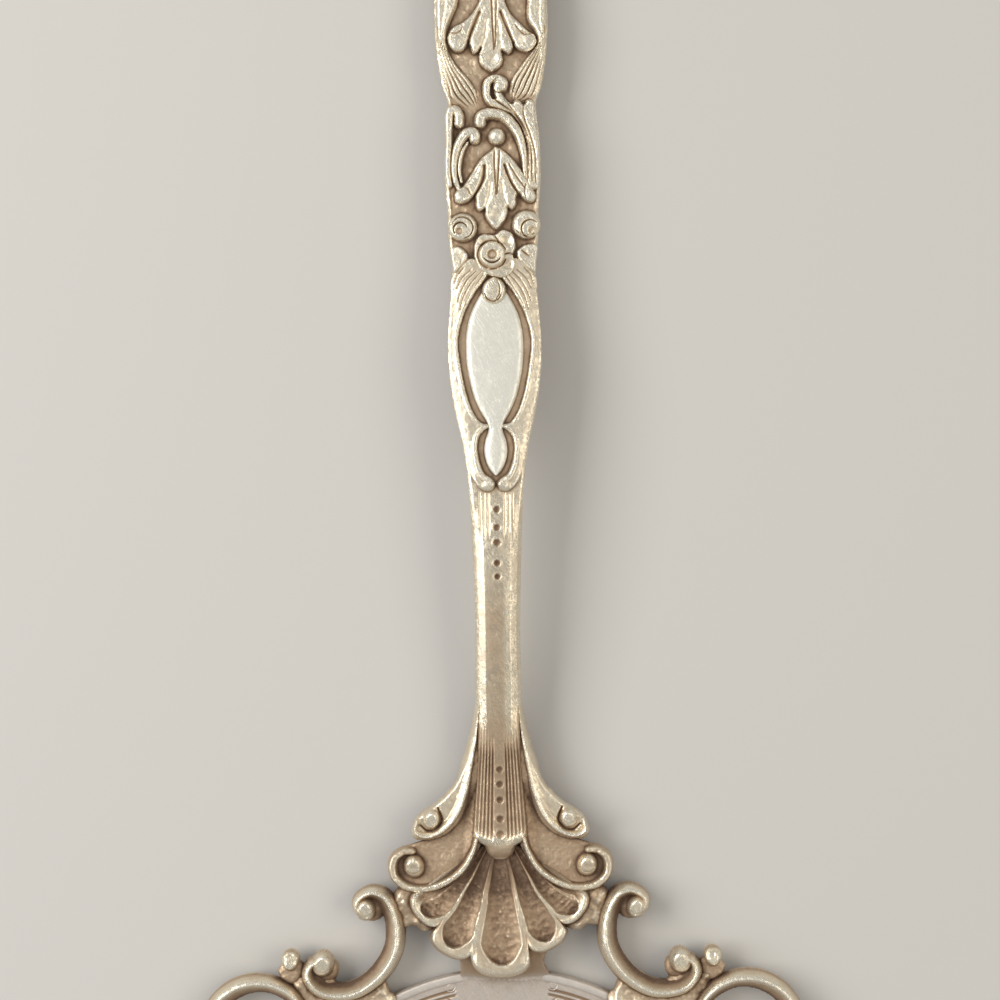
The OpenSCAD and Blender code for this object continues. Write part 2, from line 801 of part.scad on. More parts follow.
// The crook curls over the spray and its tail runs down the right edge
CROOK = spline(concat(
    [for (p = [[1.1, 3.1], [0.95, 3.75], [0.2, 3.85], [-0.6, 3], [-0.5, 1.5], [0.6, 0.2], [2.2, -0.75]])
        [p[0], crook_v + p[1]]],
    in_zone([[0.66, 0.83], [0.85, 0.66], [0.92, 0.47], [0.91, 0.28]], spray_half, spray_v, spray_len)
), 3);

module crook_scroll() {
    color(SILVER) on_handle()
    stroke(CROOK, [0.35, stroke_half, stroke_half - 0.1, 0.4, 0.2], relief, film, [0.5, 0]);
}

// Swags from the edges of the upper leaf to the crook, for the left side
SWAG = spline(concat(
    in_zone([[-0.86, 0.9], [-0.87, 0.45], [-0.81, 0.1]], palm_half, palm_v, palm_len),
    [[-4.9, crook_v + 0.58 * crook_len], [-3.3, crook_v + 0.12 * crook_len]]
), 4);

module swag_left() {
    color(SILVER) on_handle()
    stroke(SWAG, [0.4, 0.9, 1, 0.9, 0.3], 0.9 * relief, film);
}

module swag_right() {
    mirror([1, 0, 0]) swag_left();
}

module upper_acanthus() {
    color(SILVER) on_handle()
    translate([0, terminal_v, 0]) acanthus(palm_len, 17);
}

// End of the handle

TERMINAL = spline(in_zone([
    [-0.56, 0.52], [-0.62, 0.6], [-0.74, 0.62], [-0.84, 0.54], [-0.87, 0.4], [-0.82, 0.24], [-0.7, 0.12],
    [-0.55, 0.11], [-0.49, 0.18]
], terminal_half, terminal_v, terminal_len), 3);

module terminal_scroll_left() {
    color(SILVER) on_handle()
    stroke(TERMINAL, [0.45, 0.75, 0.8, 0.75, 0.45], relief, film, [stroke_knob, stroke_knob]);
}

module terminal_scroll_right() {
    mirror([1, 0, 0]) terminal_scroll_left();
}

module terminal_palmette() {
    color(SILVER) on_handle()
    translate([0, terminal_v + 0.5 * terminal_len, 0])
    rotate([0, 0, 180])
    acanthus(0.44 * terminal_len, 17);
}

module terminal_bead() {
    color(SILVER) on_handle()
    translate([0, terminal_v + 0.42 * terminal_len, film]) half_ball(1.3);
}

blade();
heel_plate();
gallery_plate_left();
gallery_plate_right();
shell();
shoulder_scroll_left();
shoulder_scroll_right();
cheek_scroll_left();
cheek_scroll_right();
bracket_scroll_left();
bracket_scroll_right();
ring_scroll_left();
ring_scroll_right();
gallery_bud_left();
gallery_bud_right();
side_scroll_left();
side_scroll_right();
handle_bar();
cartouche_plate();
cartouche_drop();
cartouche_frame_left();
cartouche_frame_right();
cartouche_bud();
rose_centre();
rose_left();
rose_right();
leaf_left();
leaf_right();
lower_acanthus();
spray_bead();
long_scroll();
outer_scroll();
inner_scroll();
crook_scroll();
upper_acanthus();
swag_left();
swag_right();
terminal_scroll_left();
terminal_scroll_right();
terminal_palmette();
terminal_bead();
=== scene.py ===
"""Ornate silver cake server, seen from straight above: every casting is modelled over its CAD node.

Lengths are in millimetres until a mesh is made. Handle places are (u, v, h): u across the handle,
v along it from the hub of the shell, h above the sloping top of the bar. Places round the root are
(x, y, h) from the hub and places in the gallery from the heel, with h above the pierced plate.
"""
import math

import bpy
import numpy as np
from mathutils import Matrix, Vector


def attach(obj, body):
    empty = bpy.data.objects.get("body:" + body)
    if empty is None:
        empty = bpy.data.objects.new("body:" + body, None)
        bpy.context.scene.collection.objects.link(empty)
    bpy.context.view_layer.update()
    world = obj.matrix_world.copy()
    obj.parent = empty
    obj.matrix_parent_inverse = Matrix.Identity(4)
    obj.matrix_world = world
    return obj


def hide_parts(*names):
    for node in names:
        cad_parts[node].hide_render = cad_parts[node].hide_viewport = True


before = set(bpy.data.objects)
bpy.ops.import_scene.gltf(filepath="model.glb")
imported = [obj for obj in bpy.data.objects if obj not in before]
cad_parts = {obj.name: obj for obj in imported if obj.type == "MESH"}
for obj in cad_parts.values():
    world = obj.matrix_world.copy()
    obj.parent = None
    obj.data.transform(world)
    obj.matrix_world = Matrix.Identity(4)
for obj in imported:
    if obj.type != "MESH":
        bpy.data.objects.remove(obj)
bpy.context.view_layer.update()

MM = 0.001
BLADE_R, TIP_R, BLADE_T = 35.0, 12.0, 1.4
HEEL_CY, TIP_CY = 15.0, -38.0
HEEL_Y, HUB_Y = 50.0, 66.0
SEAT_Z = 2.26
STEM_LEN, END_V = 52.0, 150.0
ARCH_Z, BAR_T, STEM_T = 9.0, 2.8, 3.3
ROOT_FLAT, ROOT_TOP = 9.0, 4.96
SLOPE = (ARCH_Z - BAR_T) / (END_V - STEM_LEN)
TILT = math.atan(SLOPE)


# Curves


def ease(t):
    t = np.clip(t, 0.0, 1.0)
    return t * t * (3 - 2 * t)


def window(x, low, full, full_end, high):
    """1 between full and full_end, falling to 0 at low and high."""
    return ease((x - low) / (full - low)) * ease((high - x) / (high - full_end))


def bell(x, at, width):
    """A smooth bump, 1 at a place."""
    return np.exp(-(((x - at) / width) ** 2))


def vault(q):
    """A half round: 1 at q = 0 and 0 at q = 1."""
    return np.sqrt(np.clip(1 - q**2, 0, 1))


def spline(points, count):
    """count points on a smooth curve through points, at even steps along it."""
    p = np.asarray(points, float)
    p = np.vstack([2 * p[0] - p[1], p, 2 * p[-1] - p[-2]])
    t = np.linspace(0, 1, 32, endpoint=False)[:, None]
    spans = [
        0.5 * (2 * b + (c - a) * t + (2 * a - 5 * b + 4 * c - d) * t**2 + (3 * b - a - 3 * c + d) * t**3)
        for a, b, c, d in zip(p[:-3], p[1:-2], p[2:-1], p[3:])
    ]
    dense = np.vstack(spans + [p[-2:-1]])
    run = np.r_[0, np.cumsum(np.linalg.norm(np.diff(dense, axis=0), axis=1))]
    at = np.linspace(0, run[-1], count)
    return np.column_stack([np.interp(at, run, dense[:, k]) for k in range(dense.shape[1])])


def along(values, count):
    """Smooth values at count even shares, through values given at even shares."""
    v = np.asarray(values, float)
    if v.size == 1:
        return np.full(count, v[0])
    pos = np.linspace(0, v.size - 1, count)
    i = np.clip(pos.astype(int), 0, v.size - 2)
    return v[i] + (v[i + 1] - v[i]) * ease(pos - i)


def through(table, at):
    """Values at places at of a smooth curve through a table of (place, value)."""
    curve = spline(table, 1200)
    return np.interp(at, curve[:, 0], curve[:, 1])


def arc(at, r, start, end, steps=14):
    turn = np.radians(np.linspace(start, end, steps))
    return [(at[0] + r * math.cos(a), at[1] + r * math.sin(a)) for a in turn]


def offset(path, by):
    """A path moved sideways."""
    p = spline(path, 160)
    way = np.gradient(p, axis=0)
    way /= np.linalg.norm(way, axis=1)[:, None]
    return p + by * np.column_stack([-way[:, 1], way[:, 0]])


def spread(count, bend):
    """Places from -1 to 1, closer together towards both ends."""
    return np.sin(np.linspace(-1, 1, count) * math.pi / 2 * bend) / math.sin(math.pi / 2 * bend)


# Shells: (points, faces, stain and painted light) in millimetres


def loft(rings, stain=None):
    """A closed tube through rings of equal count, capped at both ends."""
    n, m = rings.shape[:2]
    i, k = np.meshgrid(np.arange(n - 1), np.arange(m), indexing="ij")
    a = i * m + k
    b = i * m + (k + 1) % m
    quads = np.stack([a, b, b + m, a + m], -1).reshape(-1, 4).tolist()
    faces = quads + [list(range(m - 1, -1, -1)), list(range((n - 1) * m, n * m))]
    return rings.reshape(-1, 3), faces, np.zeros(n * m) if stain is None else stain.ravel()


def crowned(table, height):
    """A field with the half widths of a table. height(q, t) is its top, with q from -1 to 1 across."""
    v = np.linspace(table[0][0], table[-1][0], 140)
    half = through(table, v)
    left, right = np.column_stack([-half, v]), np.column_stack([half, v])
    Q, T = np.meshgrid(spread(41, 0.92), np.linspace(0, 1, len(v)))
    plan = left[:, None, :] + (right - left)[:, None, :] * (Q[..., None] + 1) / 2
    top = np.concatenate([plan, height(Q, T)[..., None]], -1)
    feet = [np.column_stack([edge, np.full(len(v), FIELD_FOOT)])[:, None, :] for edge in (right, left)]
    return loft(np.concatenate([top, *feet], 1))


def disc(at, reach, height, base, rings=18, spokes=40):
    """A relief round a centre. height(share of the reach) is its top."""
    ang = np.linspace(0, 2 * math.pi, spokes, endpoint=False)
    R, A = np.meshgrid(np.linspace(0, 1, rings + 1)[1:], ang, indexing="ij")
    top = np.stack([at[0] + reach * R * np.cos(A), at[1] + reach * R * np.sin(A), height(R)], -1)
    foot = top[-1].copy()
    foot[:, 2] = base
    points = np.vstack([[at[0], at[1], height(0.0)], top.reshape(-1, 3), foot])
    n = spokes
    faces = [[0, 1 + k, 1 + (k + 1) % n] for k in range(n)]
    for i in range(rings):
        lo, hi = 1 + i * n, 1 + (i + 1) * n
        faces += [[lo + k, hi + k, hi + (k + 1) % n, lo + (k + 1) % n] for k in range(n)]
    faces.append([1 + rings * n + k for k in range(n - 1, -1, -1)])
    return points, faces, np.zeros(len(points))


# Reliefs: heights on a fine grid, blended as a casting is

# Points along an outline, a stroke and a groove
OUTLINE_STEPS, STROKE_STEPS, GROOVE_STEPS = 420, 260, 160


def mottle(x, y, size, seed):
    """Smooth noise between -1 and 1 with grains of the given size."""
    x, y = x / size, y / size
    i, j = np.floor(x), np.floor(y)
    fx, fy = ease(x - i), ease(y - j)

    def corner(a, b):
        wave = np.sin(a * 127.1 + b * 311.7 + seed * 74.7) * 43758.5453
        return 2 * (wave - np.floor(wave)) - 1

    low = corner(i, j) * (1 - fx) + corner(i + 1, j) * fx
    high = corner(i, j + 1) * (1 - fx) + corner(i + 1, j + 1) * fx
    return low * (1 - fy) + high * fy


def fillet(t):
    """A quarter round from 0 to 1."""
    return vault(1 - np.clip(t, 0, 1))


class Relief:
    """A casting as heights on a grid: mounds and strokes are blended in, grooves and pits are cut."""

    def __init__(self, points, cell=0.1, base=-0.75, margin=1.3):
        points = np.asarray(points, float)
        self.cell, self.base = cell, base
        low, high = points.min(0) - margin, points.max(0) + margin
        axes = [np.arange(low[k], high[k] + cell, cell) for k in (0, 1)]
        self.x, self.y = np.meshgrid(*axes, indexing="ij")
        self.h = np.full(self.x.shape, -9.0)
        self.inside = np.full(self.x.shape, -9.0)
        self.mark = np.zeros(self.x.shape)

    def near(self, path, reach):
        """The part of the grid within reach of a path: slices, distance, side, place on the path."""
        spans = []
        for axis, low, high in zip((self.x[:, 0], self.y[0]), path.min(0) - reach, path.max(0) + reach):
            spans.append(slice(np.searchsorted(axis, low), np.searchsorted(axis, high)))
        part = tuple(spans)
        x, y = self.x[part], self.y[part]
        best = np.full(x.shape, np.inf)
        index = np.zeros(x.shape, int)
        for k, (px, py) in enumerate(path):
            d = (x - px) ** 2 + (y - py) ** 2
            closer = d < best
            best[closer] = d[closer]
            index[closer] = k
        way = np.gradient(path, axis=0)
        way /= np.linalg.norm(way, axis=1)[:, None] + 1e-9
        dx, dy = x - path[index, 0], y - path[index, 1]
        across = dy * way[index, 0] - dx * way[index, 1]
        return part, np.sqrt(best), across, index

    def blend(self, part, top, inside, soft):
        old = self.h[part]
        mixed = np.clip(0.5 + 0.5 * (top - old) / soft, 0, 1)
        self.h[part] = old + (top - old) * mixed + soft * mixed * (1 - mixed)
        self.inside[part] = np.maximum(self.inside[part], inside)

    def mound(self, outline, height, edge=0.35, soft=0.15, low=0.0):
        """A closed outline, rounded over within edge of it. height, low: numbers or functions of x, y."""
        ring = spline(list(outline) + [outline[0]], OUTLINE_STEPS)
        part, d, _, _ = self.near(ring, 1.0)
        x, y = self.x[part], self.y[part]
        inside = np.zeros(x.shape, bool)
        for (ax, ay), (bx, by) in zip(ring, np.roll(ring, -1, 0)):
            if ay != by:
                inside ^= ((ay > y) != (by > y)) & (x < (bx - ax) * (y - ay) / (by - ay) + ax)
        d = np.where(inside, d, -d)
        full = height(x, y) if callable(height) else height
        low = low(x, y) if callable(low) else low
        top = np.where(d > 0, low + (full - low) * fillet(d / edge), low + 3 * d)
        self.blend(part, top, d, soft)
        return self

    def stroke(self, path, widths, heights, section=None, soft=0.15, low=0.0, stain=None):
        """A band along a path with round ends. section(q) shapes it, stain(q) darkens it, q from -1 to 1."""
        p = spline(path, STROKE_STEPS)
        w, tall = along(widths, STROKE_STEPS), along(heights, STROKE_STEPS)
        part, d, across, k = self.near(p, max(widths) + 0.8)
        inside = w[k] - d
        q = np.clip(across / w[k], -1, 1)
        shape = fillet(inside / ((0.35 if section else 0.75) * w[k]))
        shape = section(q) * shape if section else shape
        top = np.where(inside > 0, low + (tall[k] - low) * shape, low + 3 * inside)
        self.blend(part, top, inside, soft)
        if stain:
            self.mark[part] = np.maximum(self.mark[part], stain(q) * (inside > 0))
        return self

    def far(self, at):
        """Distance of every cell from a place."""
        return np.hypot(self.x - at[0], self.y - at[1])

    def ball(self, at, r, height, low=0.0, soft=0.12):
        d = self.far(at)
        top = np.where(d < r, low + (height - low) * vault(d / r), low + 3 * (r - d))
        self.blend((slice(None), slice(None)), top, r - d, soft)
        self.mark[d < r] = 0
        return self

    def knob(self, at, r, height, low, lean):
        """The tooled end of a volute: a facet, longer and lower towards lean, and a chased crescent."""
        turn = np.linspace(0, 2 * math.pi, 18, endpoint=False)
        heading = math.radians(lean)
        away = turn - heading
        reach = r * (1 + 0.1 * np.cos(away) + 0.07 * np.cos(2 * away))
        outline = np.column_stack([at[0] + reach * np.cos(turn), at[1] + reach * np.sin(turn)])
        self.mark[self.far(at) < r] = 0

        def facet(x, y):
            return height - 0.24 * ((x - at[0]) * math.cos(heading) + (y - at[1]) * math.sin(heading))

        self.mound([tuple(p) for p in outline], facet, 0.6 * r, 0.12, low)
        return self.groove(arc(at, 0.7 * r, lean - 60, lean + 60, 8), [0.05, 0.13, 0.05], 0.16)

    def groove(self, path, widths, depth):
        p = spline(path, GROOVE_STEPS)
        w = along(widths, GROOVE_STEPS)
        part, d, _, k = self.near(p, 3 * max(widths))
        self.h[part] -= depth * bell(d, 0, w[k])
        return self

    def dish(self, at, r, depth):
        d = self.far(at) / r
        self.h -= depth * np.clip(1 - d**2, 0, 1) ** 1.2
        return self

    def pit(self, at, r, depth, edge=0.25):
        self.h -= depth * ease((r - self.far(at)) / edge + 0.5)
        return self

    def swell(self, at, r, height):
        self.h += height * bell(self.far(at), 0, r)
        return self

    def shell(self, rough=0.03, grain=0.55, seed=1):
        """A closed shell. Its rim lies on the outline and its walls go down to the base."""
        h = self.h + rough * mottle(self.x, self.y, grain, seed)
        h += 0.5 * rough * mottle(self.x, self.y, grain / 2.3, seed + 5)
        base = self.base(self.x, self.y) if callable(self.base) else np.full(h.shape, self.base)
        h = np.maximum(h, base + 0.05)
        keep = self.inside > -0.6 * self.cell
        gx, gy = np.gradient(self.inside, self.cell)
        steep = np.clip(gx**2 + gy**2, 0.3, None)
        quad = keep[:-1, :-1] & keep[1:, :-1] & keep[1:, 1:] & keep[:-1, 1:]
        count = np.zeros(keep.shape, int)
        for di, dj in ((0, 0), (1, 0), (1, 1), (0, 1)):
            count[di : di + quad.shape[0], dj : dj + quad.shape[1]] += quad
        used = count > 0
        rim = used & (count < 4)
        shift = np.where(rim, np.clip(self.inside, -self.cell, self.cell) / steep, 0)
        x, y = self.x - shift * gx, self.y - shift * gy
        n = int(used.sum())
        number = np.full(keep.shape, -1)
        number[used] = np.arange(n)
        top = np.column_stack([x[used], y[used], h[used]])
        foot = top.copy()
        foot[:, 2] = base[used]
        a, b, c, d = number[:-1, :-1], number[1:, :-1], number[1:, 1:], number[:-1, 1:]
        upper = np.stack([a, b, c, d], -1)[quad]
        padded = np.pad(quad, 1)
        walls = []
        for p, q, (di, dj) in ((a, b, (0, -1)), (b, c, (1, 0)), (c, d, (0, 1)), (d, a, (-1, 0))):
            edge = quad & ~padded[1 + di : 1 + di + quad.shape[0], 1 + dj : 1 + dj + quad.shape[1]]
            walls.append(np.column_stack([q[edge], p[edge], p[edge] + n, q[edge] + n]))
        faces = np.vstack([upper, upper[:, ::-1] + n, *walls]).tolist()
        return np.vstack([top, foot]), faces, np.concatenate([self.mark[used], np.zeros(n)])


def keel(at, inner):
    """A section with its crest at q = at, hollow on the inner side (-1 or 1) and full on the other."""

    def section(q):
        t = np.where(q > at, (q - at) / (1 - at), (at - q) / (1 + at))
        s = np.sqrt(t**2 + 0.02) - 0.14
        hollow = 1 - 0.76 * s * (2 - s)
        return np.where((q - at) * inner > 0, hollow, 1 - 0.68 * t**1.9)

    return section


# Placing


def on_handle(p):
    v, h = p[:, 1] - STEM_LEN, p[:, 2]
    c, s = math.cos(TILT), math.sin(TILT)
    return np.column_stack([p[:, 0], HUB_Y + STEM_LEN + v * c + h * s, ARCH_Z - v * s + h * c])


def seated(y):
    """Moves points to the pierced plate, y along the server."""
    return lambda p: p + np.array([0, y, SEAT_Z])


def as_is(p):
    return p


at_hub, at_heel = seated(HUB_Y), seated(HEEL_Y)


# Pieces

CAST, DARK, POLISHED = "cast_silver", "oxidised_silver", "polished_silver"
pieces = []


def piece(name, shells, place=on_handle, slot=CAST, look="cast", mirrored=False, tint=0.0):
    """Keeps a piece that stands for the CAD node of its name: shells joined, placed, maybe mirrored."""
    points, faces, stain, start = [], [], [], 0
    for p, f, s in shells:
        p = np.array(p, float)
        if mirrored:
            p[:, 0] *= -1
        points.append(place(p))
        faces += [[start + k for k in face] for face in f]
        stain.append(s)
        start += len(p)
    made = {"name": name, "points": np.vstack(points), "faces": faces, "slot": slot, "look": look}
    made["stain"] = np.concatenate(stain) + tint
    pieces.append(made)


def pair(name, shells, place=on_handle, tint=0.0):
    """A left piece and its mirror image."""
    piece(name + "_left", shells, place, tint=tint)
    piece(name + "_right", shells, place, mirrored=True, tint=tint)


# Handle bar

BAR_HALF = [
    (0, 0.9), (0.15, 1.25), (0.45, 1.6), (0.9, 1.85), (1.5, 2.05), (1.9, 2.35), (2.2, 2.9), (2.5, 3.45),
    (3.2, 3.75), (5, 3.7), (8, 3.45), (11.6, 3.15), (16.8, 2.95), (20, 3), (23.9, 3.2), (32.2, 3.1),
    (43.7, 3.4), (52, 3.8), (57.6, 4.5), (62, 5.45), (67.2, 6.3), (72.8, 6.5), (80.6, 5.9), (83.2, 5.8),
    (86.8, 6.25), (91, 6.35), (95.8, 6.7), (101.2, 6.55), (105.6, 6.15), (108, 6.85), (110.4, 7.35),
    (115.4, 7.9), (123, 8.05), (135, 9.4), (142, 8.85), (146.2, 6.75), (148.9, 3.75), (150, 1.1),
]
# Place and radius of each punched dimple, and then its depth and stain
STEM_DIMPLES = [(49.1, 0.5), (46.6, 0.5), (44.5, 0.52), (41.7, 0.48), (39.8, 0.44)]
ROOT_DIMPLES = [(12.7, 0.5), (10.6, 0.52), (8.4, 0.52), (5.7, 0.55), (3.5, 0.6)]
DIMPLES = [(*place, 0.36, 0.4) for place in STEM_DIMPLES] + [(*place, 0.26, 0.2) for place in ROOT_DIMPLES]
STEM_GROOVES = [-2.3, -1.7, -1.1, 1.15, 1.75, 2.25]
ROOT_GROOVES = [0.9, 1.3, 1.72, 2.14, 2.56]
# The pitted ground of the sprays starts here
GROUND_V = 81


def rise(z0, z1, m, t):
    u = np.clip(t, 0, 1)
    return z0 + (z1 - z0) * ease(u) + m * u * u * (u - 1)


def bar_top(v):
    handle = ARCH_Z - SLOPE * (v - STEM_LEN)
    return np.where(v > STEM_LEN, handle, rise(ROOT_TOP, ARCH_Z, -SLOPE * STEM_LEN, v / STEM_LEN))


def bar_under(v):
    span = STEM_LEN - ROOT_FLAT
    handle = bar_top(v) - (STEM_T + (BAR_T - STEM_T) * ease((v - STEM_LEN) / 20))
    stem = rise(SEAT_Z, ARCH_Z - STEM_T, -SLOPE * span, (v - ROOT_FLAT) / span)
    return np.where(v > STEM_LEN, handle, stem)


def bar_relief(u, v, half):
    """Height of the bar's chased top over its plain top."""
    side = np.abs(u)
    # The stem is crowned between two bevels
    stem = window(v, 15, 23, 44, 53)
    out = -stem * (0.045 * u**2 + 0.42 * np.clip(side - 0.56 * half, 0, None))
    for g in STEM_GROOVES:
        out -= 0.15 * bell(u, g, 0.12) * window(v, 44.5, 47, 50.8, 51.8)
    # The root is a fluted panel that flares to the lip and falls away to the cheeks
    wide = 1.4 - 0.026 * v
    for g in ROOT_GROOVES:
        out -= 0.27 * bell(side / wide, g, 0.13) * window(v - 0.1 * side**2, 2.3, 3.1, 14, 19)
    out -= window(v, 0.8, 3.6, 13, 20) * (0.22 + 0.5 * ease((side / wide - 2.1) / 1.1))
    # The lip is a rounded nose
    out -= 0.75 * np.clip(1 - v / 2.6, 0, 1) ** 2.2 + 0.16 * side**2 * window(v, -1, 0, 1.2, 3.2)
    for at, r, depth, _ in DIMPLES:
        d = np.hypot(u, v - at) / r
        out -= depth * np.clip(1 - d**2, 0, 1) ** 0.7
        out += 0.05 * bell(d, 1.2, 0.25)
    # The ground of the ornament lies lower than the rim, and less so round the cartouche
    field = ease((half - 0.35 - side) / 0.4)
    ground = window(v, 52.2, 53.4, 147, 149)
    sprays = ease((v - GROUND_V) / 2.5)
    out -= (0.06 + 0.26 * sprays) * field * ground
    pitted = ground * sprays
    out += (0.03 + 0.07 * pitted) * mottle(u, v, 0.9, 11) + 0.06 * pitted * mottle(u, v, 0.45, 12)
    return out


def handle_bar():
    fine, coarse = np.arange(0, 22, 0.16), np.arange(22, 37, 0.4)
    ornament = [np.arange(53, 80, 0.3), np.arange(80, 126, 0.16), np.arange(126, 150, 0.5), [150]]
    v = np.concatenate([fine, coarse, np.arange(37, 53, 0.16), *ornament])
    half = through(BAR_HALF, v)
    q = spread(121, 0.8)
    H = half[:, None]
    U = H * q[None, :]
    V = np.repeat(v[:, None], q.size, 1)
    side = np.abs(U)
    top = bar_top(V) + bar_relief(U, V, H)
    # Rounded shoulders
    bevel = np.minimum(0.4 * half, 0.6)[:, None]
    top -= 0.55 * bevel * np.clip(1 - (H - side) / bevel, 0, 1) ** 2.2
    under = bar_under(v)
    sides = []
    # Round the side and the back, from the right edge to the left one
    for a in np.linspace(0.06, math.pi - 0.06, 17):
        x = np.sign(math.cos(a)) * abs(math.cos(a)) ** 0.62
        edge = top[:, -1] if math.cos(a) > 0 else top[:, 0]
        sides.append(np.column_stack([half * x, HUB_Y + v, edge + (under - edge) * math.sin(a) ** 0.8]))
    upper = np.stack([U, HUB_Y + V, top], -1)
    # Brown on the root, the stem, the lip, the grounds and in the dimples; the darker middle of the stem is
    # a painted reflection and the darker lower edge of the lip is painted shade
    brown = 0.38 * window(V, 2, 5, 13, 22) + 0.05 * window(V, 10, 20, 46, 54)
    # The lip is brown, and painted shade darkens its lower edge under the rounded nose
    brown += 0.42 * window(V, -1, 0, 1.3, 2.8) + 0.2 * window(V, -1, 0, 0.3, 1.3)
    # Painted reflection: the flat middle of the stem is darkened as if it mirrored something dark overhead
    brown += 0.17 * window(V, 15, 20, 32, 47) * window(U, -2.0, -1.5, 0.5, 1.2)
    sprays = ease((V - GROUND_V + 1) / 3)
    brown += 0.21 * sprays * ease((H - 0.15 - side) / 0.35)
    brown += 0.1 * mottle(U, V, 1.6, 13) * sprays
    brown += 0.21 * window(V, 52.6, 53.4, 79, 82) * ease((0.82 * H - side) / 0.4)
    for at, r, _, dark in DIMPLES:
        brown += dark * np.sqrt(np.clip(1 - (U**2 + (V - at) ** 2) / r**2, 0, 1))
    marks = np.concatenate([brown, np.zeros((len(v), len(sides)))], 1)
    return loft(np.concatenate([upper, np.stack(sides, 1)], 1), marks)


piece("handle_bar", [handle_bar()], as_is, DARK, "bar")


# Cartouche

FIELD_FOOT = -0.45
PLATE_HALF = [
    (60.2, 0.95), (61.3, 1.25), (62.6, 2), (64.5, 2.85), (66.5, 3.4), (69, 3.85), (71.7, 4),
    (74, 3.85), (76.3, 3.3), (78.3, 2.35), (79.6, 1.5), (80.3, 0.8),
]
DROP_HALF = [(53.8, 0.15), (54.5, 0.75), (55.6, 1.3), (57.1, 1.6), (58.6, 1.45), (59.6, 1.1), (60.2, 0.95)]


def plate_height(q, t):
    dents = 0.035 * mottle(q * 4, t * 20, 1.5, 3) + 0.012 * mottle(q * 4, t * 20, 0.5, 4)
    return 0.42 + 0.26 * (1 - q**2) - 0.4 * np.abs(q) ** 16 + dents


def drop_height(q, t):
    return 0.15 + 0.7 * vault(q) * (0.75 + 0.25 * np.sin(math.pi * t))


piece("cartouche_plate", [crowned(PLATE_HALF, plate_height)], slot=POLISHED, look="polished", tint=-0.15)
piece("cartouche_drop", [crowned(DROP_HALF, drop_height)], slot=POLISHED, look="polished", tint=-0.1)

FRAME_IN = [
    (-0.4, 82.4), (-1.4, 80.9), (-2.6, 79.4), (-3.8, 77.3), (-4.55, 75.3), (-5, 73.4), (-5.05, 71.4),
    (-4.75, 69), (-4.15, 65.7), (-3.3, 63), (-2.35, 61.35), (-1.7, 60.95), (-0.9, 60.8), (-0.85, 60.45),
    (-1.4, 60.25), (-2.2, 59.4), (-2.55, 57.9), (-2.35, 55.7), (-1.7, 54), (-0.8, 53.3), (-0.3, 52.7),
]
FRAME_OUT = [
    (-0.5, 52), (-1.3, 51.6), (-2.4, 52.2), (-3.35, 53.6), (-3.8, 55.2), (-4.2, 57.2), (-4.6, 59.9),
    (-5.2, 62.4), (-5.8, 65), (-6.25, 68.6), (-6.42, 71.2), (-6.4, 73.4), (-6.22, 76), (-5.95, 79),
    (-5.7, 81.6), (-3.3, 84),
]
CHASED_LINES = [
    [(-1.45, 81.8), (-2.65, 80.1), (-3.75, 78.2), (-4.35, 76.6)],
    [(-1.8, 82.1), (-3.25, 80.5), (-4.25, 78.7), (-4.75, 76.9)],
    [(-2.4, 82.3), (-3.75, 81), (-4.7, 79.2), (-5.05, 78)],
    [(-3.2, 82.5), (-4.5, 81.2), (-5.2, 79.8)],
    [(-4.2, 82.7), (-5.1, 81.7), (-5.5, 80.6)],
]


def frame_height(x, y):
    half = through(BAR_HALF, y)
    return 0.55 - 0.3 * ease((np.abs(x) - 0.7 * half) / (0.32 * half))


def frame_side(seed):
    form = Relief(FRAME_IN + FRAME_OUT).mound(FRAME_IN + FRAME_OUT, frame_height, 0.25)
    form.stroke(offset(FRAME_IN[:11], -0.34)[::4], [0.34], [0.62])
    form.stroke(offset(FRAME_IN[14:], -0.4)[::4], [0.3, 0.42, 0.52, 0.6], [0.62, 0.7, 0.85, 0.95])
    form.ball((-1.15, 52.5), 0.95, 0.95)
    for line in CHASED_LINES:
        form.groove(line, [0.05, 0.1, 0.05], 0.2)
    return form.shell(seed=seed)


piece("cartouche_frame_left", [frame_side(1)], tint=0.05)
piece("cartouche_frame_right", [frame_side(2)], mirrored=True, tint=0.05)


BUD_EDGE = [
    (-0.1, 81.5), (-1.05, 80.9), (-1.65, 79.9), (-1.65, 78.7), (-1.05, 77.8), (-0.1, 77.45),
    (0.8, 77.7), (1.5, 78.5), (1.7, 79.7), (1.3, 80.7), (0.55, 81.3),
]
bud_form = Relief(BUD_EDGE, 0.08).mound(BUD_EDGE, 1.1, 0.6)
bud_form.groove(arc((-0.15, 79.1), 1.12, 185, 345), [0.05, 0.12, 0.05], 0.4)
bud_form.groove([(0.35, 81), (0.75, 80), (0.7, 79), (0.3, 78.3)], [0.06, 0.12, 0.06], 0.28)
bud_form.swell((-0.45, 79.6), 0.6, 0.1)
piece("cartouche_bud", [bud_form.shell(0.015)])


# Rose band

